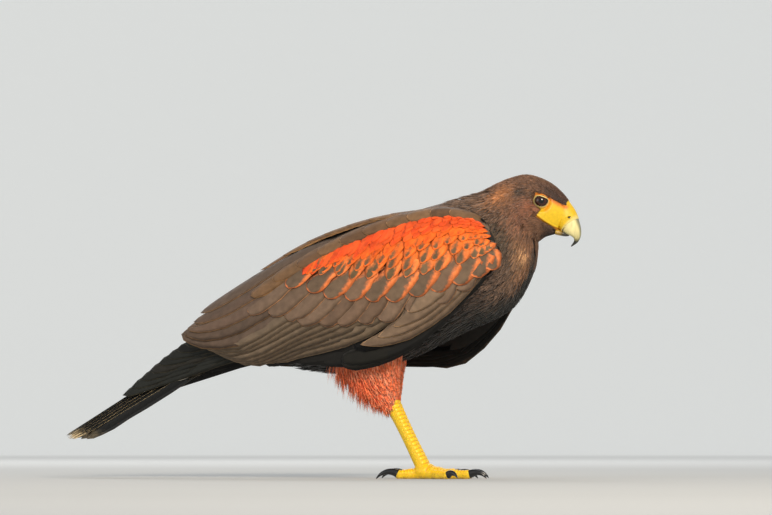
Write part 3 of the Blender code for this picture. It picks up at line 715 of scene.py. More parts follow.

# %% [markdown]
# Under the feathers the skin has the colour of the feathers above it, only darker, so that a gap between two
# feathers looks like a shadow. Points of every form are laid out with their colours, and each point of the
# skin takes the colour of the nearest. On the face the bare yellow goes over it.

# %% Colour of the skin
# Painted shade: the ground under the feathers is their colour darkened, and nearly black on the arm, so gaps
# between feathers look shaded.
GROUND_SHADE, THIGH_SINK = 0.6, 4
ARM_GAP_SHADE, RUSTY_GAP_SHADE, THIGH_GAP_SHADE = linear("#1C1814"), linear("#B0401C"), linear("#7A2C18")


def every_pair(a, b):
    """Each value of a with each value of b, as two flat arrays."""
    return (g.ravel() for g in np.meshgrid(a, b))


body_ribs = np.interp(np.arange(0, 1, 0.004), (0, 0.25, 0.37, 1), (0, 5.25, 7.5, 13))
grid_rib, grid_turn = every_pair(body_ribs, np.radians(np.arange(0, 360, 3)))
grid_at = [body_place(grid_rib, grid_turn, coat_depth(grid_rib))]
shaded_grounds = [body_tint(grid_rib, grid_turn) * GROUND_SHADE]
arm_u, arm_turn = every_pair(np.linspace(0, ARM_END, 40), np.linspace(0, 2 * math.pi, 60))
rusty = (np.abs(arm_turn / math.pi - 0.38) < 0.14) & (arm_u > 0.05) & (arm_u < 0.5)
down, down_turn = every_pair(np.linspace(0.1, 1, 20), np.linspace(0, 2 * math.pi, 40))
for side in SIDES:
    grid_at.append(arm_place(side, arm_u, arm_turn, ARM_SINK))
    grid_at.append(thigh_place(side, down, down_turn, down * 0 + THIGH_SINK))
    shaded_grounds.append(np.where(rusty[:, None], RUSTY_GAP_SHADE, ARM_GAP_SHADE))
    shaded_grounds.append(np.tile(THIGH_GAP_SHADE, (len(down), 1)))
grid_at, shaded_grounds = np.concatenate(grid_at), np.concatenate(shaded_grounds)
finder = kdtree.KDTree(len(grid_at))
for i, point in enumerate(grid_at):
    finder.insert(point, i)
finder.balance()
at = points_of(skin)
nearest = np.array([finder.find(point)[1] for point in at])
tints = shaded_grounds[nearest]
on_head = at[:, 0] > 200
bare = smooth(inside_distance(side_view(at), BARE_OUTLINE), -0.3, 0.7) * on_head
lid_share = eye_coordinates(at)[2]
eye_near = (1 - smooth(lid_share, 1.1, 1.3)) * on_head
face_colour = blend_colours(face_tint(at), BARE_ORANGE, eye_near * 0.6)
bare = np.maximum(bare, eye_near)
paint(skin, "tint", blend_colours(tints, face_colour, bare))
mark(skin, "bare", bare)
print(round(bare.mean() * 100), "per cent of the skin's points are bare")

# %% [markdown]
# Bare facial skin is waxy and finely pimpled. Under the feathers the skin is only a ground of painted shade
# that closes the gaps between them, so it gets the same colour as the feathers, darker and matt.

# %% Material of the skin
bare_skin, tree, shader = new_material("waxy bare skin and shade-darkened ground")
tint = add(tree, "Attribute", attribute_name="tint")
bare_share = add(tree, "Attribute", attribute_name="bare")
place = add(tree, "TexCoord")
# Pimples of facial skin are about 0.6 mm wide, and its paler and darker blotches four times as wide.
pimples = add(tree, "TexVoronoi", {"Vector": place.outputs["Object"], "Scale": repeats(0.625)})
blotches = add(tree, "TexNoise", {"Vector": place.outputs["Object"], "Scale": repeats(2.381), "Detail": 3.0})
shade = add(tree, "MapRange", {"Value": blotches.outputs["Fac"], "To Min": 0.7, "To Max": 1.1})
tinted = add(tree, "VectorMath", {0: tint.outputs["Color"], "Scale": shade.outputs["Result"]},
             operation="SCALE")
bump = add(tree, "Bump", {"Height": pimples.outputs["Distance"], "Strength": 0.35, "Distance": 0.0003})
tree.links.new(tinted.outputs["Vector"], shader.inputs["Base Color"])
tree.links.new(bump.outputs["Normal"], shader.inputs["Normal"])
rough = add(tree, "MapRange", {"Value": bare_share.outputs["Fac"], "To Min": 0.9, "To Max": 0.45})
tree.links.new(rough.outputs["Result"], shader.inputs["Roughness"])


def dress(piece, finish, slot, *nodes):
    """Gives a piece its material, its body and the solids that it stands for."""
    piece.data.materials.clear()
    piece.data.materials.append(finish)
    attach(piece, "root")
    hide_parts(*nodes)


dress(skin, bare_skin, "plumage_body", "head", "neck", "torso", "thigh_left", "thigh_right")

# %% [markdown]
# Feathers are of two makes. A vane is one broad blade with a raised shaft, as on the wings, tail and back. A
# tuft is a fan of narrow blades, as the loose feathers of the head, breast and thighs look. Both are laid
# along lines on a form, and all of one kind are joined in a single mesh made from arrays, because there are
# thousands of them. The random draws start from a fixed seed, so the bird is the same each time.

# %% Lines and joined meshes
rng = np.random.default_rng(5)


def feather_lines(place, starts, stops, stations, lift, flip=1):
    """Lines from starts to stops, given as pairs of numbers on a form, raised by lift."""
    starts, stops = np.asarray(starts, float), np.asarray(stops, float)
    a = starts[:, :1] + (stops - starts)[:, :1] * stations
    b = starts[:, 1:] + (stops - starts)[:, 1:] * stations
    out = facing(place, a, b) * flip
    return place(a, b) + out * np.broadcast_to(lift, a.shape)[..., None], out


def corners_of(faces):
    return np.concatenate([np.array(f) for f in faces])


def joined_mesh(name, points, faces):
    """One mesh of many copies. Points are (copies, points of a copy, 3), and faces belong to one copy."""
    count, size = points.shape[:2]
    corners = corners_of(faces)
    lengths = np.array([len(f) for f in faces])
    starts = np.concatenate([[0], np.cumsum(lengths)[:-1]])
    step = np.arange(count)[:, None]
    mesh = bpy.data.meshes.new(name)
    mesh.vertices.add(count * size)
    mesh.vertices.foreach_set("co", placed(points).ravel().astype(np.float32))
    mesh.loops.add(count * len(corners))
    mesh.loops.foreach_set("vertex_index", (corners + size * step).ravel().astype(np.int32))
    mesh.polygons.add(count * len(faces))
    mesh.polygons.foreach_set("loop_start", (starts + len(corners) * step).ravel().astype(np.int32))
    mesh.update(calc_edges=True)
    mesh.polygons.foreach_set("use_smooth", np.ones(count * len(faces), bool))
    piece = bpy.data.objects.new(name, mesh)
    bpy.context.scene.collection.objects.link(piece)
    return piece


def corner_map(piece, name, per_corner):
    """Adds a UV map from an array of (copies, corners of a copy, 2)."""
    layer = piece.data.uv_layers.new(name=name)
    layer.data.foreach_set("uv", np.ascontiguousarray(per_corner, np.float32).ravel())


print("feather lines ready")

# %% [markdown]
# A vane is drawn as rings of eight points along its shaft, which close to a point at the tip. Its edges are a
# little frayed, and now and then one is split, as a worn feather's. Its colours lie in two maps: one counts
# how many rim widths a point lies from the edge and from the tip, the other gives millimetres for the barbs.

# %% Vanes
VANE_AT = np.array((-1, -0.5, 0, 0.5, 1, 0.5, 0, -0.5))
VANE_TOP = np.array((0, 0.5, 1, 0.5, 0, -0.5, -0.7, -0.5))
AROUND, VANE_MM = len(VANE_AT), 0.3
FRAY, SPLIT_SHARE, SPLIT = 0.035, 0.05, 0.16
STATIONS = np.array((0, 0.08, 0.2, 0.35, 0.5, 0.64, 0.76, 0.86, 0.93, 0.975, 1))
SHAPES = {
    "round": np.array((0.3, 0.5, 0.72, 0.88, 0.97, 1, 0.98, 0.88, 0.7, 0.44, 0)),
    "lance": np.array((0.3, 0.55, 0.8, 0.97, 1, 0.93, 0.78, 0.56, 0.34, 0.15, 0)),
    "flight": np.array((0.55, 0.75, 0.9, 1, 1, 1, 0.97, 0.9, 0.75, 0.48, 0)),
}


def vane_faces(rings):
    """Triangles of one vane. Both faces are cut along the same diagonals, so a thin vane never shows its
    underside through its top."""
    faces, under = [], []
    for s in range(rings - 1):
        for r in range(AROUND):
            n = (r + 1) % AROUND
            a, b = s * AROUND, (s + 1) * AROUND
            if r > 3:
                faces += [(a + r, a + n, b + r), (a + n, b + n, b + r)]
            else:
                faces += [(a + r, a + n, b + n), (a + r, b + n, b + r)]
            under += [r > 3] * 2
    for r in range(AROUND):
        faces.append(((rings - 1) * AROUND + r, (rings - 1) * AROUND + (r + 1) % AROUND, rings * AROUND))
        under.append(r > 3)
    faces.append(tuple(range(AROUND))[::-1])
    under.append(True)
    return faces, np.array(under)


def vanes(name, lines, outs, half, tints, rims, rim_mm, tilt=0.0, shape="round", flare=0.0, tip_mm=None,
          camber=0.1):
    """Broad feathers. Each has a centre tint and a rim of another colour, rim_mm wide, and tip_mm at the tip.

    Flare widens the rim towards the root, so that the centre becomes a drop."""
    count, rings = lines.shape[0], lines.shape[1] - 1
    tip_mm = rim_mm if tip_mm is None else tip_mm
    half, rim_mm, tilt, flare, tip_mm, camber = (
        np.broadcast_to(x, count)[:, None] for x in (half, rim_mm, tilt, flare, tip_mm, camber))
    ahead = unit(np.gradient(lines, axis=1))
    outs = unit(outs - (outs * ahead).sum(-1, keepdims=True) * ahead)
    across = np.cross(ahead, outs)
    shape = SHAPES[shape] if isinstance(shape, str) else shape
    wide = half * shape
    x = VANE_AT[None, None, :] * wide[..., None]
    frayed = rng.normal(0, FRAY, x.shape) - (rng.random(x.shape) < SPLIT_SHARE) * SPLIT
    x = x * np.where(np.abs(VANE_AT) == 1, 1 + frayed, 1)
    high = VANE_TOP * VANE_MM * (0.5 + 0.5 * np.broadcast_to(shape, wide.shape))[..., None] / 2
    high = high - camber[..., None] * x**2 / np.maximum(half, 1)[..., None] + tilt[..., None] * x
    p = lines[:, :, None] + across[:, :, None] * x[..., None] + outs[:, :, None] * high[..., None]
    points = np.concatenate([p[:, :rings].reshape(count, rings * AROUND, 3), lines[:, -1:]], 1)
    faces, under = vane_faces(rings)
    piece = joined_mesh(name, points, faces)
    length = np.linalg.norm(np.diff(lines, axis=1), axis=-1).sum(1)[:, None]

    def per_point(value, tip):
        rows = np.broadcast_to(value, (count, rings + 1, AROUND))[:, :rings].reshape(count, -1)
        return np.concatenate([rows, np.broadcast_to(tip, (count, 1))], 1)

    def per_corner(first, first_tip, second, second_tip):
        pair = np.stack([per_point(first, first_tip), per_point(second, second_tip)], -1)
        return pair[:, corners_of(faces)]

    along = length * STATIONS
    rim_here = rim_mm + flare * np.clip((0.9 - STATIONS) / 0.4, 0, 1)
    edge = (1 - np.abs(VANE_AT)) * (wide / rim_here)[..., None]
    to_tip = ((length - along) / tip_mm)[..., None]
    corner_map(piece, "Rim", per_corner(edge, 0, to_tip, 0))
    corner_map(piece, "Barb", per_corner(x, 0, along[..., None], length))
    # Each vane has a cell of its own on the bake's map, in the rows' order, with its underside beside it.
    grid = math.ceil(math.sqrt(count))
    cell = np.stack([np.arange(count) % grid, np.arange(count) // grid], -1)[:, None] / grid
    inner = per_corner((VANE_AT + 1) / 2, 0.5, STATIONS[:, None], 1)
    inner[..., 0] = 0.04 + 0.44 * inner[..., 0] + 0.48 * np.repeat(under, [len(f) for f in faces])
    inner[..., 1] = 0.05 + 0.9 * inner[..., 1]
    corner_map(piece, "OFBake", cell + inner / grid)
    size = rings * AROUND + 1
    paint(piece, "tint", np.repeat(tints, size, axis=0))
    paint(piece, "rim", np.repeat(rims, size, axis=0))
    mark(piece, "under", np.tile(under, count), "FACE")
    return piece


print(len(vane_faces(len(STATIONS) - 1)[0]), "faces in one vane")

# %% [markdown]
# A tuft has a few blades that start at one root in the skin, spread in a fan and rise towards their tips.
# Each blade is a three-sided spike, wide and low. Painted shade makes it darker at its root, and a little
# painted light makes it brighter at its tip.

# %% Tufts
BLADE_STATIONS = np.array((0, 0.3, 0.62, 0.86, 1))
BLADE_WIDE = np.array((0.55, 1, 0.9, 0.5, 0))
BAKE_PATCH = 0.003


def tufts(name, place, roots, length, half, tints, tips, sink, fan_deg, blades, heading, rise, flow=1,
          unwrap=(1, 1)):
    """Fans of narrow blades that lie along a form, from their roots in the skin."""
    count = len(roots)
    length, half, heading, sink, rise = (
        np.broadcast_to(x, count) for x in (length, half, heading, sink, rise))
    spread = np.linspace(-1, 1, blades)
    every = np.repeat(np.arange(count), blades)
    fan = np.tile(spread, count) + rng.normal(0, 0.18, count * blades)
    angle = heading[every] + np.radians(fan_deg) * fan
    reach = length[every] * (1 - 0.22 * fan**2) * rng.uniform(0.82, 1.12, len(every))
    start = roots[every]
    per_a, per_b = slopes(place, start[:, 0], start[:, 1])
    stop = start + np.stack([flow * np.cos(angle) * reach / per_a, np.sin(angle) * reach / per_b], -1)
    up = np.interp(BLADE_STATIONS, (0, 0.35, 0.75, 1), (-1, -0.35, 0, 0))
    raised = (rise[every] * rng.uniform(0.3, 1.2, len(every)))[:, None] * BLADE_STATIONS**2
    lift = sink[every][:, None] * up + raised
    lines, outs = feather_lines(place, start, stop, BLADE_STATIONS, lift)
    ahead = unit(np.gradient(lines, axis=1))
    across = np.cross(ahead, outs)
    wide = (half[every] * rng.uniform(0.8, 1.2, len(every)))[:, None] * BLADE_WIDE
    left = lines - across * wide[..., None]
    right = lines + across * wide[..., None]
    top = lines + outs * (0.08 + 0.18 * wide)[..., None]
    rings = len(BLADE_STATIONS) - 1
    p = np.stack([left, top, right], 2)[:, :rings].reshape(len(every), rings * 3, 3)
    points = np.concatenate([p, lines[:, -1:]], 1)
    faces = []
    for s in range(rings - 1):
        for r in range(3):
            n = (r + 1) % 3
            faces.append((s * 3 + r, s * 3 + n, (s + 1) * 3 + n, (s + 1) * 3 + r))
    last = (rings - 1) * 3
    faces += [(last + r, last + (r + 1) % 3, rings * 3) for r in range(3)] + [(2, 1, 0)]
    piece = joined_mesh(name, points, faces)
    size = rings * 3 + 1
    along = np.append(np.repeat(BLADE_STATIONS[:rings], 3), 1)
    mixed = blend_colours(tints[every][:, None], tips[every][:, None], np.tile(along**2, (len(every), 1)))
    # Painted shade darkens each blade towards its root, where the tufts overlap, and a little painted light
    # brightens its tip.
    root_shade = np.interp(along, (0, 0.5, 1), (0.62, 0.97, 1.1))[:, None]
    shade = rng.uniform(0.82, 1.18, (len(every), 1, 1)) * root_shade
    paint(piece, "tint", (mixed * shade).reshape(-1, 3))
    sideways = np.append(np.tile((-0.5, 0, 0.5), rings), 0)
    patch = BAKE_PATCH * np.stack([sideways, along - 0.5], -1)[corners_of(faces)]
    at_root = np.mod(roots / np.array(unwrap), 1) * 0.99 + 0.005
    corner_map(piece, "OFBake", at_root[every][:, None] + patch)
    return piece


print((len(BLADE_STATIONS) - 1) * 3 + 1, "points in one blade")

# %% [markdown]
# The vane's shader keeps two things of a real feather, a rim of another colour along its edge and fine
# slanting barbs on both sides of the shaft, and it darkens the underside with painted shade. The rim's map
# counts the distance to the edge and to the tip in rim widths, so the nearer of the two gives an even border.
# Flight feathers are stiff and have a satin shine. Coverts are softer and more matt, and loose body feathers
# more so, with a faint sheen where their fine ends catch the light.

# %% Materials of the feathers
BARB_MM = 0.8


def vane_material(name, roughness, sheen):
    material, tree, shader = new_material(name)
    tint = add(tree, "Attribute", attribute_name="tint")
    rim = add(tree, "Attribute", attribute_name="rim")
    under = add(tree, "Attribute", attribute_name="under")
    rim_map = add(tree, "SeparateXYZ", {0: add(tree, "UVMap", uv_map="Rim").outputs["UV"]})
    barb_uv = add(tree, "UVMap", uv_map="Barb")
    barb_map = add(tree, "SeparateXYZ", {0: barb_uv.outputs["UV"]})
    place = add(tree, "TexCoord")
    # The border of the rim wanders, as where the pale tips of barbs have worn off unevenly.
    ragged = add(tree, "TexNoise", {"Vector": place.outputs["Object"], "Scale": repeats(2.857),
                                    "Detail": 2.0})
    near = add(tree, "Math", {0: rim_map.outputs["X"], 1: rim_map.outputs["Y"]}, operation="MINIMUM")
    moved = add(tree, "Math", {0: ragged.outputs["Fac"], 1: 1.2, 2: -0.6}, operation="MULTIPLY_ADD")
    edge = add(tree, "Math", {0: near.outputs[0], 1: moved.outputs[0]}, operation="ADD")
    inner = add(tree, "MapRange", {"Value": edge.outputs[0], "From Min": 0.4, "From Max": 1.4},
                interpolation_type="SMOOTHSTEP")
    colour = add(tree, "Mix", {"Factor": inner.outputs["Result"], "A": rim.outputs["Color"],
                               "B": tint.outputs["Color"]}, data_type="RGBA")
    # Barbs are 0.3 mm apart on the bird. They are drawn further apart, or they would be lost in the picture.
    aside = add(tree, "Math", {0: barb_map.outputs["X"]}, operation="ABSOLUTE")
    slanted = add(tree, "Math", {0: aside.outputs[0], 1: -1.1, 2: barb_map.outputs["Y"]},
                  operation="MULTIPLY_ADD")
    turns = add(tree, "Math", {0: slanted.outputs[0], 1: 2 * math.pi / BARB_MM}, operation="MULTIPLY")
    barbs = add(tree, "Math", {0: turns.outputs[0]}, operation="SINE")
    # The sun bleaches a feather in patches of a few millimetres.
    fade = add(tree, "TexNoise", {"Vector": place.outputs["Object"], "Scale": repeats(6.25), "Detail": 3.0})
    light = add(tree, "MapRange", {"Value": fade.outputs["Fac"], "From Min": 0.3, "From Max": 0.7,
                                   "To Min": 0.78, "To Max": 1.16})
    streak = add(tree, "Math", {0: barbs.outputs[0], 1: 0.1, 2: light.outputs["Result"]},
                 operation="MULTIPLY_ADD")
    # Painted shade: underside faces are darkened by three quarters.
    underside_shade = add(tree, "Math", {0: under.outputs["Fac"], 1: -0.75, 2: streak.outputs[0]},
               operation="MULTIPLY_ADD")
    final = add(tree, "VectorMath", {0: colour.outputs["Result"], "Scale": underside_shade.outputs[0]},
                operation="SCALE")
    bump = add(tree, "Bump", {"Height": barbs.outputs[0], "Strength": 0.25, "Distance": 0.0001})
    tree.links.new(final.outputs["Vector"], shader.inputs["Base Color"])
    tree.links.new(bump.outputs["Normal"], shader.inputs["Normal"])
    shader.inputs["Roughness"].default_value = roughness
    shader.inputs["Sheen Weight"].default_value = sheen
    shader.inputs["Specular IOR Level"].default_value = 0.2
    return material


def tuft_material(name):
    material, tree, shader = new_material(name)
    tint = add(tree, "Attribute", attribute_name="tint")
    place = add(tree, "TexCoord")
    fade = add(tree, "TexNoise", {"Vector": place.outputs["Object"], "Scale": repeats(3.333), "Detail": 3.0})
    light = add(tree, "MapRange", {"Value": fade.outputs["Fac"], "From Min": 0.3, "From Max": 0.7,
                                   "To Min": 0.75, "To Max": 1.2})
    final = add(tree, "VectorMath", {0: tint.outputs["Color"], "Scale": light.outputs["Result"]},
                operation="SCALE")
    tree.links.new(final.outputs["Vector"], shader.inputs["Base Color"])
    shader.inputs["Roughness"].default_value = 0.72
    shader.inputs["Sheen Weight"].default_value = 0.15
    shader.inputs["Specular IOR Level"].default_value = 0.25
    return material


stiff_vane = vane_material("satin flight feather", 0.5, 0.05)
soft_vane = vane_material("soft covert feather", 0.66, 0.03)
downy = tuft_material("loose body feather")
print("feather materials ready")

# %% [markdown]
# The coat of the body grows in rows from the bill back to the tail, with feathers that grow from 4 mm on the
# forehead to 34 mm on the belly. Rows are set by the feathers' length. Where the ribs crowd together, as on
# the nape, fewer are kept, so the coat is even all round.

# %% Rows of the body's coat
FEATHER_LENGTH = (34, 32, 26, 20, 13, 9, 6.5, 4.5)
FEATHER_HALF = (8, 7.5, 6, 4.5, 3.2, 2.2, 1.6, 1.2)


def at_ribs(rib, values):
    return np.interp(rib, COAT_RIBS, values)


def coat_roots(place, first, last, length_of, half_of, gap=0.33, beside=1.1):
    """Roots in even rows over a form, from first to last of its first number."""
    found = []
    at = first
    turn = np.linspace(0, 2 * math.pi, 181)
    while at < last:
        length, half = length_of(at), half_of(at)
        per_a, _ = slopes(place, np.full(181, at), turn)
        ring = place(np.full(181, at), turn)
        arc = np.append(0, np.cumsum(np.linalg.norm(np.diff(ring, axis=0), axis=1)))
        count = max(6, int(arc[-1] / (beside * half)))
        where = (np.arange(count) + rng.uniform(-0.3, 0.3, count) + rng.random()) / count % 1 * arc[-1]
        turns = np.interp(where, arc, turn)
        step = gap * length / per_a.max()
        here = np.interp(turns, turn, per_a) / per_a.max()
        keep = rng.random(count) < np.clip(here, 0.3, 1)
        a = at + rng.uniform(-0.35, 0.35, count) * step
        found.append(np.stack([a, turns], -1)[keep])
        at += step
    return np.concatenate(found)


roots = coat_roots(
    body_place, 0.2, 13, lambda r: at_ribs(r, FEATHER_LENGTH), lambda r: at_ribs(r, FEATHER_HALF))
root_at = body_place(roots[:, 0], roots[:, 1])
lid_share = eye_coordinates(root_at)[2]
is_bare = (inside_distance(side_view(root_at), BARE_OUTLINE) > 0.1) & (roots[:, 0] > 7.4)
is_eye = (lid_share < 1.26) & (roots[:, 0] > 8) & (np.abs(root_at[:, 1]) > 8)
is_under_wing = np.zeros(len(roots), bool)
for side in SIDES:
    outline = tuple((x, z) for x, z, _ in WING_TOP + WING_LOW[side][::-1])
    deep = inside_distance(side_view(root_at), outline) > 9
    is_under_wing |= deep & (root_at[:, 1] * side > 12) & (np.abs(np.sin(roots[:, 1])) > 0.6)
roots = roots[~(is_bare | is_eye | is_under_wing)]
degrees = np.degrees(np.abs((roots[:, 1] + math.pi) % (2 * math.pi) - math.pi))
on_back = (roots[:, 0] < 5.4) & (degrees < 72)
print(len(roots), "body feathers,", on_back.sum(), "on the back")

# %% [markdown]
# Head, neck, breast and belly wear tufts, smallest at the bill. Each tuft takes its colour from the marking
# at its root, a little lighter or darker than its neighbours, and paler at its tips.

# %% Tufts of the head, neck, breast and belly
RISE = (2.6, 2.2, 1.4, 1.1, 0.7, 0.4, 0.3, 0.25)
GROUPS = {
    # first rib, last rib, blades, fan in degrees, narrowness, slot, solids
    "head_feathers": (8.0, 13.1, 6, 26, 0.27, "plumage_head", ("head", "neck")),
    "neck_feathers": (5.5, 8.0, 7, 20, 0.25, "plumage_head", ("neck",)),
    "breast_feathers": (3.0, 5.5, 7, 18, 0.26, "plumage_body", ("torso",)),
    "belly_feathers": (-1.0, 3.0, 7, 18, 0.26, "plumage_body", ("torso",)),
}
for name, (low, high, blades, fan, narrow, slot, nodes) in GROUPS.items():
    chosen = roots[(roots[:, 0] >= low) & (roots[:, 0] < high) & ~on_back]
    rib, turns = chosen.T
    tints = body_tint(rib, turns) * rng.uniform(0.7, 1.3, (len(chosen), 1))
    pale = np.clip(tints * 1.3 + 0.008, 0, 1)
    length = at_ribs(rib, FEATHER_LENGTH) * rng.uniform(0.9, 1.12, len(chosen))
    half = at_ribs(rib, FEATHER_HALF) * narrow
    piece = tufts(name, coat_place, chosen, length, half, tints, pale, coat_depth(rib), fan, blades,
                  rng.normal(0, 0.1, len(chosen)), at_ribs(rib, RISE), flow=-1, unwrap=(13.5, 2 * math.pi))
    dress(piece, downy, slot, *nodes)
    print(name, len(chosen), "feathers,", len(piece.data.polygons), "faces")

# %% [markdown]
# The feathers of the back are firmer and rounded, with a brown rim, and lie like tiles between the wings.

# %% Vanes of the back
chosen = roots[on_back]
rib, turns = chosen.T
length = at_ribs(rib, (40, 38, 30, 24, 13, 9, 6.5, 4.5))
per_rib, _ = slopes(body_place, rib, turns)
stops = chosen - np.stack([length / per_rib, rib * 0], -1)
lift = np.interp(STATIONS, (0, 0.4, 0.8, 1), (-4, -0.4, 0.3, 0.5))
lines, outs = feather_lines(body_place, chosen, stops, STATIONS, lift)
tints = body_tint(rib, turns) * rng.uniform(0.8, 1.2, (len(chosen), 1))
rims = np.tile(linear("#94704E"), (len(chosen), 1)) * rng.uniform(0.6, 1.1, (len(chosen), 1))
mantle = vanes("mantle_feathers", lines, outs, at_ribs(rib, (12, 11, 9, 8, 3, 2, 2, 1)), tints, rims, 1.2)
dress(mantle, soft_vane, "plumage_body", "torso")
print(len(chosen), "feathers of the back")

# %% [markdown]
# A folded wing is a stack of tiers. The long primaries lie lowest and reach over the tail, the secondaries
# and tertials cover them, and three sizes of coverts lie on these like tiles. The alula lies on the front
# edge. Shoulder feathers close the upper edge. A wing is made of hundreds of vanes, so a stack gathers their
# lines and colours tier by tier, and makes one piece of them at the end.

# %% Makers of a wing
CHESTNUT = ("#E6501E", "#D8481A", "#EC5C24", "#E25420")
ROOT_DIP = 2.4


def picked(colours, count):
    """One colour for each feather, from the hex values, with a little chance in its strength."""
    table = np.array([linear(c) for c in colours])
    return table[rng.integers(0, len(table), count)] * rng.uniform(0.85, 1.15, (count, 1))


class Stack:
    """Vanes gathered for one wing or tail, to be made as one piece."""

    def __init__(self, side):
        self.side = side
        self.rows = {key: [] for key in (
            "lines", "outs", "half", "tints", "rims", "rim_mm", "tilt", "flare", "tip_mm", "camber", "shape")}

    def lay(self, roots, tips, half, lifts, tilt, shape, centres, rim, rim_mm, flare=0.0, camber=0.1,
            jitter=0.004):
        """Adds feathers on the wing's outer face. Their roots dip under the face by ROOT_DIP."""
        count = len(roots)
        tips = tips + rng.normal(0, jitter, tips.shape)
        lift = np.interp(STATIONS, (0, 0.25, 0.9, 1), (0, 0.8, 1.0, 1.05))
        lift = lift * np.broadcast_to(lifts, count)[:, None] - ROOT_DIP * (1 - smooth(STATIONS, 0, 0.3))
        lines, outs = feather_lines(
            lambda a, b: wing_place(self.side, a, b), roots, tips, STATIONS, lift, -self.side)
        self.take(lines, outs, half, picked(centres, count), picked((rim,), count), rim_mm, tilt * self.side,
                  shape, flare, camber=camber)

    def take(self, lines, outs, half, tints, rims, rim_mm, tilt, shape, flare=0.0, tip_mm=None, camber=0.1):
        """Adds feathers whose lines are known."""
        count = len(lines)
        tip_mm = rim_mm if tip_mm is None else tip_mm
        values = (lines, outs, half, tints, rims, rim_mm, tilt, flare, tip_mm, camber)
        for key, value in zip(self.rows, values):
            self.rows[key].append(np.array(np.broadcast_to(value, (count, *np.shape(value)[1:]))))
        self.rows["shape"].append(np.tile(SHAPES[shape], (count, 1)))

    def build(self, name):
        return vanes(name, **{key: np.concatenate(values) for key, values in self.rows.items()})


def spread_rows(curve, count):
    """Places at even steps along a curve."""
    return through(curve, np.linspace(0, 1, count))


print("one chestnut is", linear(CHESTNUT[0]).round(3))

# %% [markdown]
# The ten primaries follow their own line towards the tail, each a little shorter and higher than the one
# below. On the right wing two feathers of the hand hang below the alula, dark in life and painted black as
# shade.

# %% Feathers of the hand
PRIMARY_LINE = (
    (58, 140, 72),
    (5, 136, 61),
    (-60, 128, 46),
    (-125, 109, 33),
    (-197, 82, 25),
)
PRIMARIES, PRIMARY_STEP, PRIMARY_HALF = 10, 0.034, 10.5
# Two feathers below the alula, as points of the drawing. Their black is partly painted shade.
HAND_COVERT = ((128, -66, 146), (100, -70, 129), (70, -71, 118), (38, -68, 114))


def lay_primaries(stack):
    hand = np.array(PRIMARY_LINE, float) * (1, 1, stack.side)
    for k in range(PRIMARIES):
        share = STATIONS * (1 - PRIMARY_STEP * k)
        line = through(hand, share)[:, [0, 2, 1]]
        outward = unit(np.stack([share * 0, stack.side * (1.1 - 0.2 * share), 0.1 + 0.5 * share], 1))
        upward = np.cross(outward, unit(np.gradient(line, axis=0))) * stack.side
        under = np.interp(share, (0, 0.12, 0.3, 1), (-11, -8.5, 0.3 * k - 6.2, 0.42 * k - 5.4))
        line = line + upward * (share * (2 + 5.1 * k))[:, None] + outward * under[:, None]
        stack.take(line[None], outward[None], PRIMARY_HALF, picked(("#1B1C18", "#1F1D18"), 1),
                   picked(("#484232",), 1), 0.8, 0.03 * stack.side, "flight")


def lay_shaded_hand_coverts(stack):
    for k, drop in enumerate((0.0, 4.5)):
        line = through(HAND_COVERT, STATIONS) - UP * (drop * STATIONS)[:, None]
        outward = np.tile(unit(np.array((0.1, stack.side, 0.05))), (len(line), 1))
        # Painted shade: these two feathers are near-black.
        stack.take(line[None] - outward * k, outward[None], 9.0, picked(("#16140F",), 1),
                   picked(("#26221B",), 1), 0.8, 0.0, "flight")


print(PRIMARIES, "primaries")

# %% [markdown]
# Each tier is a line of roots and a line of tips on the wing's face, with the feathers spread between. Each
# feather's lower edge lies on the one below it, so the feathers tilt a little outwards at their lower edge.

# %% Tiers and alula
TIERS = (
    # name, count, roots, tips, half widths, lifts, tilt, shape, centres, rim, rim width, flare
    # The first tier is near-black as painted shade along the wing's lower edge, beneath the secondaries.
    ("dark secondaries", 7, ((0.22, 0.96), (0.32, 0.72)), ((0.70, 1.10), (0.82, 1.0)), (10, 12), (-3.0, -2.4),
     0.05, "flight", ("#12110F", "#171512"), "#24201B", 0.9, 0),
    ("secondaries", 9, ((0.26, 0.64), (0.36, 0.50), (0.46, 0.40)),
     ((0.80, 0.99), (0.92, 0.90), (0.99, 0.70)), (12, 12.5), (0.1, 1.7), 0.085, "flight",
     ("#6B5B4A", "#645443"), "#8C745A", 0.9, 0),
    ("tertials", 5, ((0.54, 0.42), (0.50, 0.26), (0.46, 0.08)),
     ((1.01, 0.64), (0.985, 0.36), (0.94, 0.08)), (15, 10), (1.8, 3.4), 0.03, "round",
     ("#56463A", "#5F4C3F"), "#93704E", 1.2, 0),
    ("greater coverts", 11,
     ((0.13, 0.74), (0.24, 0.64), (0.36, 0.54), (0.44, 0.48), (0.50, 0.42), (0.56, 0.34), (0.62, 0.22)),
     ((0.25, 0.88), (0.37, 0.84), (0.50, 0.80), (0.60, 0.76), (0.67, 0.70), (0.73, 0.58), (0.80, 0.38)),
     (13, 15), (2.0, 2.6), 0.06, "round", ("#6F5A49", "#6A5443"), "#C08A62", 0.9, 0),
    ("median coverts", 11,
     ((0.05, 0.78), (0.10, 0.68), (0.20, 0.56), (0.30, 0.48), (0.40, 0.40), (0.48, 0.30), (0.56, 0.16)),
     ((0.16, 0.94), (0.23, 0.85), (0.33, 0.75), (0.43, 0.69), (0.53, 0.60), (0.61, 0.49), (0.68, 0.32)),
     (11, 12.5), (2.9, 3.2), 0.06, "round", ("#675442", "#6B5543"), "#E87E44", 1.5, 5),
)
ALULA_ROOTS, ALULA_TIPS = ((0.15, 0.90), (0.24, 0.74)), {
    RIGHT: ((0.565, 0.97), (0.385, 0.85)),
    LEFT: ((0.575, 1.10), (0.395, 0.98)),
}


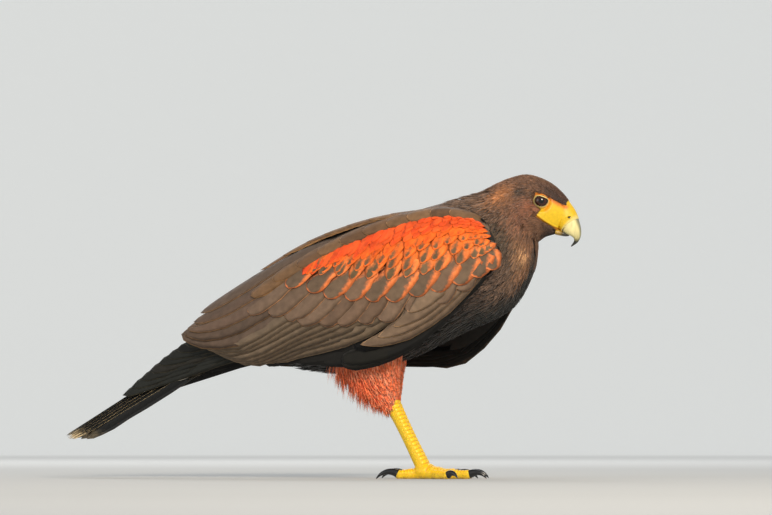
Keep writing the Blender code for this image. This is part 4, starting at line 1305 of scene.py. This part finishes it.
def lay_tiers(stack):
    for _, count, roots_at, tips_at, halves, lifts, *style in TIERS:
        stack.lay(spread_rows(roots_at, count), spread_rows(tips_at, count), np.linspace(*halves, count),
                  np.linspace(*lifts, count), *style)


def lay_alula(stack):
    roots_at, tips_at = (spread_rows(line, 4) for line in (ALULA_ROOTS, ALULA_TIPS[stack.side]))
    stack.lay(roots_at, tips_at, np.array((11, 10.5, 10, 9)), np.array((1.2, 1.9, 2.6, 3.2)), 0.04, "lance",
              ("#796450", "#705C4A"), "#A88460", 0.9)


print(sum(row[1] for row in TIERS), "feathers in the tiers of each wing")

# %% [markdown]
# The lesser coverts make the chestnut patch. They lie in rows from the lowest up, each a little over the one
# below. The upper rows are chestnut all over, and the lower ones brown with a chestnut rim, so the patch
# breaks up into scallops towards its lower edge.

# %% Lesser coverts
# The chestnut patch of lesser coverts lies between two lines on the wing's face.
PATCH_TOP = ((0.06, 0.22), (0.14, 0.12), (0.24, 0.12), (0.33, 0.17), (0.43, 0.21), (0.53, 0.24), (0.65, 0.30))
PATCH_LOW = ((0.10, 0.80), (0.17, 0.74), (0.28, 0.64), (0.38, 0.57), (0.48, 0.48), (0.56, 0.38), (0.63, 0.27))
# Each row of lesser coverts: its place from the top of the patch, its count, its centres, its rim, the rim's
# width and its flare.
LESSER_ROWS = (
    (0.02, 19, CHESTNUT, "#E24E18", 2.0, 0),
    (0.11, 18, CHESTNUT, "#E45018", 2.0, 0),
    (0.20, 19, CHESTNUT, "#E8541A", 2.0, 0),
    (0.30, 18, CHESTNUT, "#EE5E1C", 2.5, 0),
    (0.43, 17, ("#B0441C", "#6E4A2C", "#D8501A"), "#F0661E", 2.6, 9),
    (0.60, 15, ("#65523A", "#6A5238", "#7C4E30"), "#F26C24", 2.0, 8),
    (0.80, 14, ("#5F4E38", "#64503A"), "#F0742C", 1.7, 7),
    (1.00, 13, ("#645238", "#68543C"), "#EE7C3C", 1.3, 7),
)
LESSER_REACH, LESSER_LOW_ROOT = (0.056, 0.190), (0.012, 0.02)


def lay_lesser_coverts(stack):
    for row, (f, count, centres, rim, rim_mm, flare) in enumerate(reversed(LESSER_ROWS)):
        share = ((np.arange(count) + 0.5 * (row % 2)) / count) ** 1.2
        tips = through(PATCH_TOP, share) * (1 - f) + through(PATCH_LOW, share) * f
        tips = tips + rng.normal(0, (0.005, 0.008), tips.shape)
        small = np.interp(tips[:, 0], (0.08, 0.26), (0.72, 1.0))
        roots_at = tips - np.array(LESSER_REACH) * (small * (0.75 + 0.3 * f))[:, None]
        stack.lay(np.maximum(roots_at, LESSER_LOW_ROOT), tips, (6.6 + 2.8 * f) * small, 3.4 + 0.1 * f, 0.05,
                  "lance", centres, rim, rim_mm, flare * small)


print(sum(row[1] for row in LESSER_ROWS), "lesser coverts on each wing")

# %% [markdown]
# Shoulder feathers close the gap between the wing and the back. One row bends over the back, and a second
# one lies on the wing's face. They are more arched than the others, as the real ones are.

# %% Shoulder feathers
SCAPULARS = (
    ((0.02, 0.01), (0.12, 0.00), (0.24, 0.02), (0.34, 0.04), (0.44, 0.07), (0.52, 0.10)),
    ((0.17, 0.02), (0.30, 0.05), (0.42, 0.10), (0.54, 0.13), (0.66, 0.18), (0.78, 0.24)),
)
# The row that bends over the back: its line of roots and its line of tips.
RIDGE = ((0.02, -0.05), (0.52, -0.05)), ((0.18, -0.045), (0.74, -0.04))
SHOULDER_BROWN = (("#74573C", "#664B34"), "#A87C50", 1.2)


def lay_shoulder(stack):
    stack.lay(spread_rows(RIDGE[0], 10), spread_rows(RIDGE[1], 10), 10, 2.4, 0.0, "round", *SHOULDER_BROWN,
              camber=0.35)
    stack.lay(spread_rows(SCAPULARS[0], 10), spread_rows(SCAPULARS[1], 10), np.linspace(9, 12.5, 10), 4.2,
              0.03, "round", *SHOULDER_BROWN, camber=0.25)


wings = {}
for side in SIDES:
    stack = wings[side] = Stack(side)
    lay_primaries(stack)
    lay_tiers(stack)
    if side == RIGHT:
        lay_shaded_hand_coverts(stack)
    lay_alula(stack)
    lay_lesser_coverts(stack)
    lay_shoulder(stack)
    print(SIDES[side], "wing has", sum(len(r) for r in stack.rows["lines"]), "vanes on its face")

# %% [markdown]
# Small coverts turn round the front edge of the wing, and others line its inner face, which shows on the far
# wing below the breast. Those on the inner face, and those on the lower half of the far wing's edge, are
# near-black as painted shade.

# %% Front edge and lining of the wings
LINING_END, LINING_REACH = ARM_END - 0.1, ARM_END - 0.03

for side in SIDES:
    def arm(a, b, side=side):
        return arm_place(side, a, b)

    edge = coat_roots(arm, 0.006, 0.07, lambda u: 15.0, lambda u: 5.5)
    lining = coat_roots(arm, 0.07, LINING_END, lambda u: 26.0, lambda u: 8.5)
    lining = lining[(lining[:, 1] > math.pi * 1.12) & (lining[:, 1] < math.pi * 1.75)]
    for chosen, length, half in ((edge, 16.0, 5.5), (lining, 28.0, 9.0)):
        per_u, _ = slopes(arm, chosen[:, 0], chosen[:, 1])
        stops = chosen + np.stack([np.minimum(length / per_u, 0.16), chosen[:, 0] * 0], -1)
        stops[:, 0] = np.minimum(stops[:, 0], LINING_REACH)
        lift = np.interp(STATIONS, (0, 0.3, 1), (-2, 0.2, 1.0))
        lines, outs = feather_lines(arm, chosen, stops, STATIONS, lift, -side)
        count, turn_at = len(chosen), chosen[:, 1:]
        # Painted shade: the inner face, and the lower half of the far wing's edge, are near-black.
        shaded = (turn_at > math.pi * 1.02) | ((turn_at > math.pi * 0.5) & (side == LEFT))
        # The edge is brown all round. Chestnut is drawn too, which keeps the later draws as they are.
        brown = turn_at > 0
        tints = np.where(brown, picked(("#6A5646", "#5E4C3E"), count), picked(CHESTNUT, count))
        rims = np.where(brown, picked(("#7A6452",), count), picked(("#EE7430",), count))
        tints = np.where(shaded, picked(("#141310", "#191613"), count), tints)
        rims = np.where(shaded, picked(("#1F1B17",), count), rims)
        wings[side].take(lines, outs, half, tints, rims, 1.0, 0.0, "round")
    piece = wings[side].build("wing_feathers_" + SIDES[side])
    dress(piece, soft_vane, "wing_feathers", "wing_" + SIDES[side])
    print(piece.name, len(piece.data.polygons), "faces")

# %% [markdown]
# The tail has twelve long feathers, stacked so that the middle pair lies on top. They are black with a cream
# tip. White coverts hide their roots above and below.

# %% Tail
TAIL_FEATHERS, CREAM_TIP_MM = 12, 15
tail = Stack(RIGHT)
middle = (TAIL_FEATHERS - 1) / 2
for k in range(TAIL_FEATHERS):
    across = (k - middle) / middle
    level = middle - abs(k - middle)
    share = 0.06 + STATIONS * (0.895 + 0.045 * (1 - abs(across)) ** 0.5)
    line = tail_place(share, np.full(len(share), across * 0.82))
    lean = unit(TAIL_UP + ASIDE * (TAIL_ARCH * across / 25))
    outs = np.tile(lean, (len(share), 1))
    line = line + outs * (-3.8 + 1.05 * level)
    tail.take(line[None], outs[None], 10.5, picked(("#12120E",), 1), picked(("#E2C79A",), 1), 0.35, 0.0,
              "flight", tip_mm=CREAM_TIP_MM)
for above, count, rows, reach, rise in ((1, 7, 3, 0.34, (13, 4.5)), (-1, 8, 4, 0.46, (-13, -7.0))):
    for row in range(rows):
        for across in np.linspace(-0.8, 0.8, count - row % 2):
            start = 0.02 + 0.05 * (rows - row - 1)
            end = (reach - 0.07 * row) * (1 - 0.2 * across**2)
            share = start + STATIONS * (end - start)
            spot = share * 0 + across + rng.normal(0, 0.02)
            line = tail_place(share, spot) + TAIL_UP * (
                np.interp(share, (0.05, reach), rise) + above * 0.8 * row)[:, None]
            outs = np.tile(unit(TAIL_UP * above + ASIDE * (0.35 * across)), (len(share), 1))
            white = picked(("#E4DCCB", "#D8CDB8"), 1)
            tail.take(line[None], outs[None], 8.5, white, white * 1.1, 1.0, 0.08 * np.sign(across), "round")
piece = tail.build("tail_vanes")
dress(piece, stiff_vane, "tail_feathers", "tail")
print(len(piece.data.polygons), "faces in the tail")

# %% [markdown]
# The thighs wear long loose feathers, rusty with paler tips, that hang over the top of the bare legs.

# %% Thighs
for side in SIDES:
    def thigh(a, b, side=side):
        return thigh_place(side, a, b)

    chosen = coat_roots(thigh, 0.04, 0.99, lambda d: 26.0 - 8 * d, lambda d: 6.0 - 2.5 * d, 0.24, 0.9)
    count = len(chosen)
    tints = picked(("#F0623A", "#E05630", "#F87446"), count)
    tips = picked(("#F4804C", "#EE8256", "#F0A078"), count)
    down = chosen[:, 0]
    # At the back of the thigh the feathers are longer and hang free of the leg.
    loose = np.exp(-(((chosen[:, 1] - math.pi) / 0.95) ** 2))
    loose = loose * np.interp(down, (0, 0.25, 0.7, 1), (0.5, 1, 0.85, 0.2))
    piece = tufts("thigh_feathers_" + SIDES[side], thigh, chosen, 27 - 9 * down + 12 * loose,
                  1.6 - 0.5 * down, tints, tips, 4.0 - 2.2 * down, 18, 7, rng.normal(0, 0.12, count),
                  1.8 + 19 * loose, unwrap=(1.1, 2 * math.pi))
    dress(piece, downy, "thigh_feathers", "thigh_" + SIDES[side])
    print(piece.name, count, "feathers,", len(piece.data.polygons), "faces")

# %% [markdown]
# The bill has a yellow waxy cere at its base, with the nostrils in it, and a horn hook that darkens to its
# tip. Each is a sphere drawn out along ribs like the body's. The cere swells a little over the horn, and its
# edge lies further ahead on the ridge than at the mouth.

# %% Ribs of the bill
BILL_RIBS = (
    (246, 263, 235.1, 239, 9.4),
    (250.6, 255.5, 238.4, 236, 8.2),
    (254.4, 246.5, 242.8, 233.2, 6.6),
    (256.4, 238, 247, 231.4, 4.9),
    (256, 231, 249.4, 229.2, 3.4),
    (253, 225.4, 249.4, 226.4, 2),
    (246.6, 221, 246.2, 221.8, 0.6),
)
MANDIBLE_RIBS = (
    (234.6, 238.4, 232.4, 232.8, 7),
    (238.8, 236.4, 237.4, 231.8, 5.2),
    (242.6, 234.6, 241.8, 231.3, 3.2),
    (245.2, 233.0, 245.0, 231.8, 1),
)
NOSTRIL_AT, NOSTRIL_WIDE, NOSTRIL_TALL = np.array((246.6, 249)), 1.7, 1.2
NOSTRIL_RIM, NOSTRIL_DEPTH = 0.3, 1.5


def ribbed_place(ribs, at, turn, swell=0.0, plump=1.0):
    rows = through(ribs, at / (len(ribs) - 1))
    middle = (rows[..., 0:2] + rows[..., 2:4]) / 2
    reach = (rows[..., 0:2] - rows[..., 2:4]) / 2
    reach = reach + unit(reach) * np.asarray(swell)[..., None]
    flat = middle + reach * np.cos(turn)[..., None]
    aside = np.sign(np.sin(turn)) * np.abs(np.sin(turn)) ** plump
    return np.stack([flat[..., 0], aside * (rows[..., 4] + swell), flat[..., 1]], -1)


def ribbed_middle(ribs, at, turn):
    return middle_of(lambda a, b: ribbed_place(ribs, a, b), at, turn)


def ribbed_shape(ribs, first, last, plump):
    def shape(share, turn):
        at = first + (last - first) * share
        centre = ribbed_middle(ribs, at, turn)
        ends = np.sqrt(np.clip(np.minimum(share, 1 - share) / 0.035, 0, 1))[:, None]
        return centre + (ribbed_place(ribs, at, turn, plump=plump) - centre) * ends
    return shape


def nostril_distance(points):
    """Distance to the middle of the nostril, where 1 is its rim."""
    return np.linalg.norm((side_view(points) - NOSTRIL_AT) / (NOSTRIL_WIDE, NOSTRIL_TALL), axis=1)


print("nostril of", 2 * NOSTRIL_WIDE, "by", 2 * NOSTRIL_TALL, "mm")

# %% [markdown]
# Each form has a function for its shape and one for its colour, and both take the share of the way along it
# and the turn round it. The nostril is a real dent in the cere with a low rim round it, and painted shade
# darkens its inside.

# %% Shapes and colours of the bill
def cere_shape(share, turn):
    last = 1.38 + 0.47 * np.cos(turn)
    at = -0.45 + (last + 0.45) * np.clip(share / 0.97, 0, 1)
    swell = 0.6 * smooth(share, 0.05, 0.5) * (1 - smooth(share, 0.93, 0.985)) - 0.9 * smooth(share, 0.95, 1)
    centre = ribbed_middle(BILL_RIBS, at, turn)
    ends = np.sqrt(np.clip(np.minimum(share / 0.05, (1 - share) / 0.03), 0, 1))[:, None]
    p = centre + (ribbed_place(BILL_RIBS, at, turn, swell) - centre) * ends
    away = nostril_distance(p)
    aside = np.sign(p[:, 1]) * (np.abs(p[:, 1]) > 4)
    rim = NOSTRIL_RIM * np.exp(-(((away - 1.5) / 0.45) ** 2))
    p[:, 1] += aside * (rim - NOSTRIL_DEPTH * (1 - smooth(away, 0.55, 1.15)))
    return p


def cere_tint(share, turn):
    at = cere_shape(share, turn)
    # Painted shade darkens the inside of the nostril.
    nostril_shade = (1 - smooth(nostril_distance(at), 0.6, 1.1)) * (np.abs(at[:, 1]) > 3)
    tint = blend_colours(face_tint(at), linear("#E6D384"), smooth(share, 0.72, 0.97))
    return blend_colours(tint, linear("#1E150C"), nostril_shade)


def plain_tint(share, colour):
    return np.tile(linear(colour), (len(share), 1))


def horn_tint(share, turn):
    """Cream on the sides, grey green along the ridge, and nearly black at the hook."""
    tint = blend_colours(plain_tint(share, "#E2D598"), linear("#73735A"), smooth(np.cos(turn), 0.6, 0.97))
    tint = blend_colours(tint, linear("#9A9468"), smooth(share, 0.4, 0.62) * 0.5)
    return blend_colours(tint, linear("#2C2D24"), smooth(share, 0.6, 0.82))


def mandible_tint(share, turn):
    return blend_colours(plain_tint(share, "#A9852E"), linear("#34312A"), smooth(share, 0.2, 0.55))


def horn_shape(share, turn):
    """The hook. Its root is slimmer, because it lies inside the cere."""
    at = 0.7 + 5.3 * share
    p = ribbed_shape(BILL_RIBS, 0.7, 6.0, 0.88)(share, turn)
    centre = ribbed_middle(BILL_RIBS, at, turn)
    return centre + (p - centre) * (1 - 0.22 * (1 - smooth(at, 0.85, 1.3)))[:, None]


print("the horn's tip is", horn_tint(np.array([1.0]), np.array([0.0])).round(3))

# %% [markdown]
# Horn, eyes, lids and claws take their colour from their points, and a fine grain breaks it up. One function
# makes these materials, with the grain's size, its stretch and the gloss of each. Horn of a bill grows in
# thin layers and wears smooth, so it has a satin gloss and streaks that run along it.

# %% Grained materials
def tinted_material(name, roughness, grain_mm, stretch=(1, 1, 1), grain=0.12, depth=0.0001, coat=0.0,
                    specular=0.5):
    """A material that takes its colour from the tint, broken by a grain of a real size."""
    material, tree, shader = new_material(name)
    tint = add(tree, "Attribute", attribute_name="tint")
    place = add(tree, "TexCoord")
    scaled = add(tree, "Mapping", {"Vector": place.outputs["Object"], "Scale": stretch})
    noise = add(tree, "TexNoise", {"Vector": scaled.outputs["Vector"], "Scale": repeats(grain_mm),
                                   "Detail": 3.0})
    light = add(tree, "MapRange", {"Value": noise.outputs["Fac"], "From Min": 0.3, "From Max": 0.7,
                                   "To Min": 1 - grain, "To Max": 1 + grain})
    final = add(tree, "VectorMath", {0: tint.outputs["Color"], "Scale": light.outputs["Result"]},
                operation="SCALE")
    bump = add(tree, "Bump", {"Height": noise.outputs["Fac"], "Strength": 0.4, "Distance": depth})
    tree.links.new(final.outputs["Vector"], shader.inputs["Base Color"])
    tree.links.new(bump.outputs["Normal"], shader.inputs["Normal"])
    shader.inputs["Roughness"].default_value = roughness
    shader.inputs["Coat Weight"].default_value = coat
    shader.inputs["Specular IOR Level"].default_value = specular
    return material


polished_horn = tinted_material("layered bill horn", 0.3, 2.857, (1, 1, 0.25), grain=0.14)
print(polished_horn.name, "ready")

# %% Bill and cere
cere = shaped_sphere("cere", 144, 80, cere_shape, cere_tint)
upper = shaped_sphere("bill_hook", 72, 96, horn_shape, horn_tint)
lower = shaped_sphere("bill_under", 48, 40, ribbed_shape(MANDIBLE_RIBS, -0.3, 3.0, 0.9), mandible_tint)
mark(cere, "bare", np.ones(len(cere.data.vertices)))
dress(cere, bare_skin, "leg_skin", "bill_upper")
dress(upper, polished_horn, "bill_horn", "bill_upper")
dress(lower, polished_horn, "bill_horn", "bill_lower")
print("bill of", len(cere.data.polygons) + len(upper.data.polygons) + len(lower.data.polygons), "faces")

# %% [markdown]
# A hawk's eye is large, and its cornea bulges. The eye is one glossy ball whose front is raised. It has a
# dark brown iris round a black pupil. It is always wet, so it mirrors the lamps as small sharp lights. A pale
# lid, made from a torus, lies round the opening on the ball. Its skin is satin and finely wrinkled.

# %% Eyes and lids
PUPIL, IRIS_EDGE, LID_ROUND, LID_RISE = 2.6, 5.7, 0.75, 0.3
wet = tinted_material("wet cornea over a brown iris", 0.06, 1.111, grain=0.2, depth=0.0, coat=0.35,
                      specular=0.3)
lid_skin = tinted_material("lid skin", 0.45, 0.909, grain=0.1, depth=0.0002)


def round_sight(centre, look, ring, turn, height):
    """Points round a line of sight, at a distance from it and at a height along it."""
    third = unit(look)
    first = unit(np.cross(UP, third))
    flat = np.stack([ring * np.cos(turn), ring * np.sin(turn), height], 1)
    return centre + flat @ np.stack([first, np.cross(third, first), third])


def iris_tint(ring):
    """Brown iris, black pupil and dark rim, by the distance from the line of sight."""
    iris = blend_colours(plain_tint(ring, "#34160B"), linear("#1A0C07"), smooth(ring, 4.2, IRIS_EDGE))
    iris = blend_colours(iris, linear("#050505"), 1 - smooth(ring, PUPIL - 0.2, PUPIL + 0.2))
    return blend_colours(iris, linear("#0B0908"), smooth(ring, IRIS_EDGE - 0.2, IRIS_EDGE + 0.3))


for side in SIDES:
    look, centre = LOOK * (1, side, 1), EYE_AT * (1, side, 1)

    def eye_shape(share, turn):
        ring = EYE_RADIUS * np.sin(share * math.pi)
        height = np.where(share < 0.5, ball_depth(ring), EYE_RADIUS * np.cos(share * math.pi))
        return round_sight(centre, look, ring, turn, height)

    def lid_place(co):
        turn = np.arctan2(co[:, 1], co[:, 0])
        bend = np.arctan2(co[:, 2], np.linalg.norm(co[:, :2], axis=1) - 1)
        ring = lid_opening(-side * np.cos(turn), np.sin(turn)) + LID_ROUND * (1 + np.cos(bend))
        return round_sight(centre, look, ring, turn, ball_depth(ring) + LID_RISE + LID_ROUND * np.sin(bend))

    eye = shaped_sphere("eyeball_" + SIDES[side], 64, 48, eye_shape)
    depth, ring, _ = eye_coordinates(points_of(eye))
    paint(eye, "tint", iris_tint(np.where(depth < 0, 99, ring)))
    dress(eye, wet, "eye", "eye_" + SIDES[side])

    bpy.ops.object.select_all(action="DESELECT")
    bpy.ops.mesh.primitive_torus_add(major_segments=64, minor_segments=14, major_radius=1, minor_radius=0.2)
    lid, _ = reshape("eyelid_" + SIDES[side], lid_place)
    lid_share = eye_coordinates(points_of(lid))[2]
    lid_tint = blend_colours(plain_tint(lid_share, "#20160F"), LID_PALE, smooth(lid_share, 1.04, 1.14))
    paint(lid, "tint", lid_tint)
    dress(lid, lid_skin, "leg_skin", "head")
print("each eye has", len(eye.data.polygons), "faces and its lid", len(lid.data.polygons))

# %% [markdown]
# Bare legs of a hawk are cased in plates. Broad ones, the scutes, run down the front of the leg and along the
# top of each toe, and small round scales cover the rest. Leg, palm and toes are tubes, joined by a fine voxel
# remesh so that they flow into each other. Every point then knows which limb it is on, how far along and how
# far round, and the plates are raised from that.

# %% Lines of the legs and toes
TARSUS_TOP, TARSUS_FOOT = (74, 30, 78), (106.5, 28, 13)
SHANK_RADII = np.array((7.6, 7.4, 6.9, 6.6, 6.5, 6.6, 7.0, 7.3)) * 0.88
PALM_AT, PALM_HALF = (109.5, 28, 6.9), (11, 9, 7.5)
# Toes: length, heading in degrees out from straight ahead, radius at the root and at the claw, claw length.
TOES = {
    "hallux": (26, 172, 5.6, 4.3, 25),
    "inner": (34, -22, 5.6, 4.3, 21),
    "middle": (45, 3, 5.8, 4.2, 20),
    "outer": (36, 37, 5.2, 3.9, 17),
}
CLAW_RISE_DEG, CLAW_FALL_DEG = 34, -58
SCUTE_MM, TOE_SCUTE_MM, VOXEL_MM = 4.0, 2.9, 0.42
SCUTE_HIGH, GROOVE_DEEP, GROOVE_WIDE = 0.32, 0.3, 0.45
CAP = 0.06


def limb_shape(line, radius, tall=1.0):
    """A sphere drawn out along a line, with round ends."""
    def shape(share, turn):
        at = np.clip((share - CAP) / (1 - 2 * CAP), 0, 1)
        middle, r = through(line, at), through(radius[:, None], at)[:, 0]
        ahead = unit(through(line, np.clip(at + 0.02, 0, 1)) - through(line, np.clip(at - 0.02, 0, 1)))
        aside = unit(np.cross(UP + 1e-3, ahead))
        above = np.cross(ahead, aside)
        from_end = np.clip(1 - np.minimum(share, 1 - share) / CAP, 0, 1)
        r = r * np.sqrt(np.clip(1 - from_end**2, 0, 1))
        return middle + (aside * np.cos(turn)[:, None] + above * (np.sin(turn) * tall)[:, None]) * r[:, None]
    return shape


def toe_lines(side):
    """Each toe's middle line and radii, its way ahead and its claw's length."""
    palm = np.array(PALM_AT) * (1, side, 1) - (LEG_SETBACK[side], 0, 0)
    for name, (size, heading, root, end, claw) in TOES.items():
        turned = math.radians(heading)
        ahead = np.array([math.cos(turned), side * math.sin(turned), 0])
        reach = np.array((2, 0.25 * size, 0.42 * size, 0.6 * size, 0.78 * size, 0.92 * size, size))
        swell = np.array((1.0, 1.08, 0.88, 1.02, 0.86, 1.0, 0.92))
        pressed = np.array((0.6, 0.7, 0.0, 0.8, -0.1, 0.6, -1.0))
        radius = np.linspace(root, end, len(reach)) * swell
        line = np.array([palm[0], palm[1], 0]) + ahead * reach[:, None] + UP * (radius - pressed)[:, None]
        yield name, line, radius, ahead, claw


def limb_coordinates(points, line):
    """For points near a line: millimetres along it, distance from it, and the way outwards from it."""
    fine = through(line, np.linspace(0, 1, 60))
    run = np.append(0, np.cumsum(np.linalg.norm(np.diff(fine, axis=0), axis=1)))
    gap = points[:, None] - fine[None]
    distance = np.linalg.norm(gap, axis=2)
    nearest = distance.argmin(1)
    ahead = unit(np.gradient(fine, axis=0))[nearest]
    off = gap[np.arange(len(points)), nearest]
    along = run[nearest] + (off * ahead).sum(1)
    return along, distance.min(1), unit(off - (off * ahead).sum(1)[:, None] * ahead)


print("toes of", [size for size, *_ in TOES.values()], "mm")

# %% [markdown]
# The skin of the legs is yellow and satin. Its small scales come from the shader, and the raised plates,
# which are real geometry, keep it off where they lie.

# %% Material of the legs
LEG_SKIN, SCUTE_EDGE, SOLE_SKIN = "#EDC314", linear("#CF8212"), linear("#DDB950")

scaly, tree, shader = new_material("scaled leg skin")
tint = add(tree, "Attribute", attribute_name="tint")
plated = add(tree, "Attribute", attribute_name="plate")
place = add(tree, "TexCoord")
# Round scales of the back and sides are about 1.3 mm wide.
scales = add(tree, "TexVoronoi", {"Vector": place.outputs["Object"], "Scale": repeats(1.316)},
             feature="DISTANCE_TO_EDGE")
seam = add(tree, "MapRange", {"Value": scales.outputs["Distance"], "From Max": 0.16})
kept = add(tree, "Math", {0: seam.outputs["Result"], 1: plated.outputs["Fac"]}, operation="MAXIMUM")
light = add(tree, "MapRange", {"Value": kept.outputs[0], "To Min": 0.72, "To Max": 1.03})
final = add(tree, "VectorMath", {0: tint.outputs["Color"], "Scale": light.outputs["Result"]},
            operation="SCALE")
bump = add(tree, "Bump", {"Height": kept.outputs[0], "Strength": 0.6, "Distance": 0.0003})
tree.links.new(final.outputs["Vector"], shader.inputs["Base Color"])
tree.links.new(bump.outputs["Normal"], shader.inputs["Normal"])
shader.inputs["Roughness"].default_value = 0.42
shader.inputs["Subsurface Weight"].default_value = 0.08
shader.inputs["Subsurface Scale"].default_value = 0.002
print(scaly.name, "ready")

# %% Making one leg of its tubes
def joined_limbs(name, parts):
    """One piece from tubes that overlap, with soft creases where they meet."""
    bpy.ops.object.select_all(action="DESELECT")
    for part in parts:
        part.select_set(True)
    leg = parts[0]
    bpy.context.view_layer.objects.active = leg
    bpy.ops.object.join()
    leg.name = name
    remesh = leg.modifiers.new("flow", "REMESH")
    remesh.mode, remesh.voxel_size = "VOXEL", VOXEL_MM * MM
    bpy.ops.object.modifier_apply(modifier="flow")
    relax = leg.modifiers.new("relax", "SMOOTH")
    relax.factor, relax.iterations = 0.5, 6
    bpy.ops.object.modifier_apply(modifier="relax")
    bpy.ops.object.shade_smooth()
    return leg


def plates_of(at, tubes, front):
    """The share of plate at each point, the place within it, from 0 to 1, and the groove at its ends.

    The first tube is the shank, whose plates lie on its front. Those of the toes lie on top."""
    best = np.full(len(at), 1e9)
    along, upper_side, pitch = (np.zeros(len(at)) for _ in range(3))
    for index, (line, radius) in enumerate(tubes):
        s, distance, off = limb_coordinates(at, line)
        nearer = distance - radius.mean() < best
        best = np.where(nearer, distance - radius.mean(), best)
        along = np.where(nearer, s, along)
        upper_side = np.where(nearer, off @ (UP if index else front), upper_side)
        pitch = np.where(nearer, TOE_SCUTE_MM if index else SCUTE_MM, pitch)
    phase = along / pitch % 1
    groove = np.exp(-((np.minimum(phase, 1 - phase) * pitch / GROOVE_WIDE) ** 2))
    return smooth(upper_side, 0.15, 0.5), phase, groove


print("plates of", SCUTE_MM, "mm on the leg and", TOE_SCUTE_MM, "mm on the toes")

# %% Legs and feet
for side in SIDES:
    top, foot, palm = (np.array(p) * (1, side, 1) - (LEG_SETBACK[side], 0, 0)
                       for p in (TARSUS_TOP, TARSUS_FOOT, PALM_AT))
    down = unit(foot - top)
    front = unit(np.array([-down[2], 0, down[0]]))
    shank = top + (foot - top) * np.linspace(-0.04, 1.02, len(SHANK_RADII))[:, None]
    tubes = [(shank, SHANK_RADII)] + [(line, radius) for _, line, radius, _, _ in toe_lines(side)]
    parts = [shaped_sphere("limb", 40, 64, limb_shape(line, radius)) for line, radius in tubes]

    def palm_shape(share, turn):
        ring = np.sin(share * math.pi)
        ball = np.stack([ring * np.cos(turn), ring * np.sin(turn), np.cos(share * math.pi)], 1)
        return palm + np.array(PALM_HALF) * ball

    parts.append(shaped_sphere("palm", 40, 32, palm_shape))
    leg = joined_limbs("leg_" + SIDES[side], parts)
    at = points_of(leg)
    normals = np.zeros(len(at) * 3)
    leg.data.vertices.foreach_get("normal", normals)
    plate, phase, groove = plates_of(at, tubes, front)
    relief = plate * (SCUTE_HIGH * np.sin(math.pi * phase) ** 0.5 - GROOVE_DEEP * groove)
    at = at + normals.reshape(-1, 3) * relief[:, None]
    at[:, 2] = np.maximum(at[:, 2], 0.05)
    leg.data.vertices.foreach_set("co", placed(at).ravel().astype(np.float32))
    leg.data.update()
    tints = blend_colours(plain_tint(at, LEG_SKIN), SCUTE_EDGE, groove * plate * 0.75)
    paint(leg, "tint", blend_colours(tints, SOLE_SKIN, 1 - smooth(at[:, 2], 0.3, 2.5)))
    mark(leg, "plate", plate)
    dress(leg, scaly, "leg_skin", "tarsus_" + SIDES[side], "foot_" + SIDES[side])
    print(leg.name, len(leg.data.polygons), "faces")

# %% [markdown]
# Each claw leaves its toe rising and curves over until its tip nears the floor. It is black horn, deeper than
# wide, and sharp. Use polishes it, so it has a narrow highlight along its back.

# %% Claws
CLAW_JOINTS, CLAW_TALL, CLAW_TIP = 16, 1.12, 0.12
claw_horn = tinted_material("polished claw horn", 0.22, 2.0, (1, 1, 0.3), grain=0.25)
for side in SIDES:
    for name, line, radius, ahead, claw in toe_lines(side):
        share = np.linspace(0, 1, CLAW_JOINTS)
        pitch = np.radians(CLAW_RISE_DEG + (CLAW_FALL_DEG - CLAW_RISE_DEG) * share)
        heading = ahead * np.cos(pitch)[:, None] + UP * np.sin(pitch)[:, None]
        moves = (heading[1:] + heading[:-1]) / 2 * claw / (CLAW_JOINTS - 1)
        middle = line[-1] - heading[0] * 1.2 + np.vstack([np.zeros(3), np.cumsum(moves, axis=0)])
        thick = TOES[name][3] * 0.84 * (1 - share) ** 0.75 + CLAW_TIP
        piece = shaped_sphere(f"talon_{name}_{SIDES[side]}", 32, 40, limb_shape(middle, thick, CLAW_TALL),
                              lambda share, turn: plain_tint(share, "#1B1C1E"))
        dress(piece, claw_horn, "claw_horn", f"claw_{name}_{SIDES[side]}")
print("each claw has", len(piece.data.polygons), "faces")
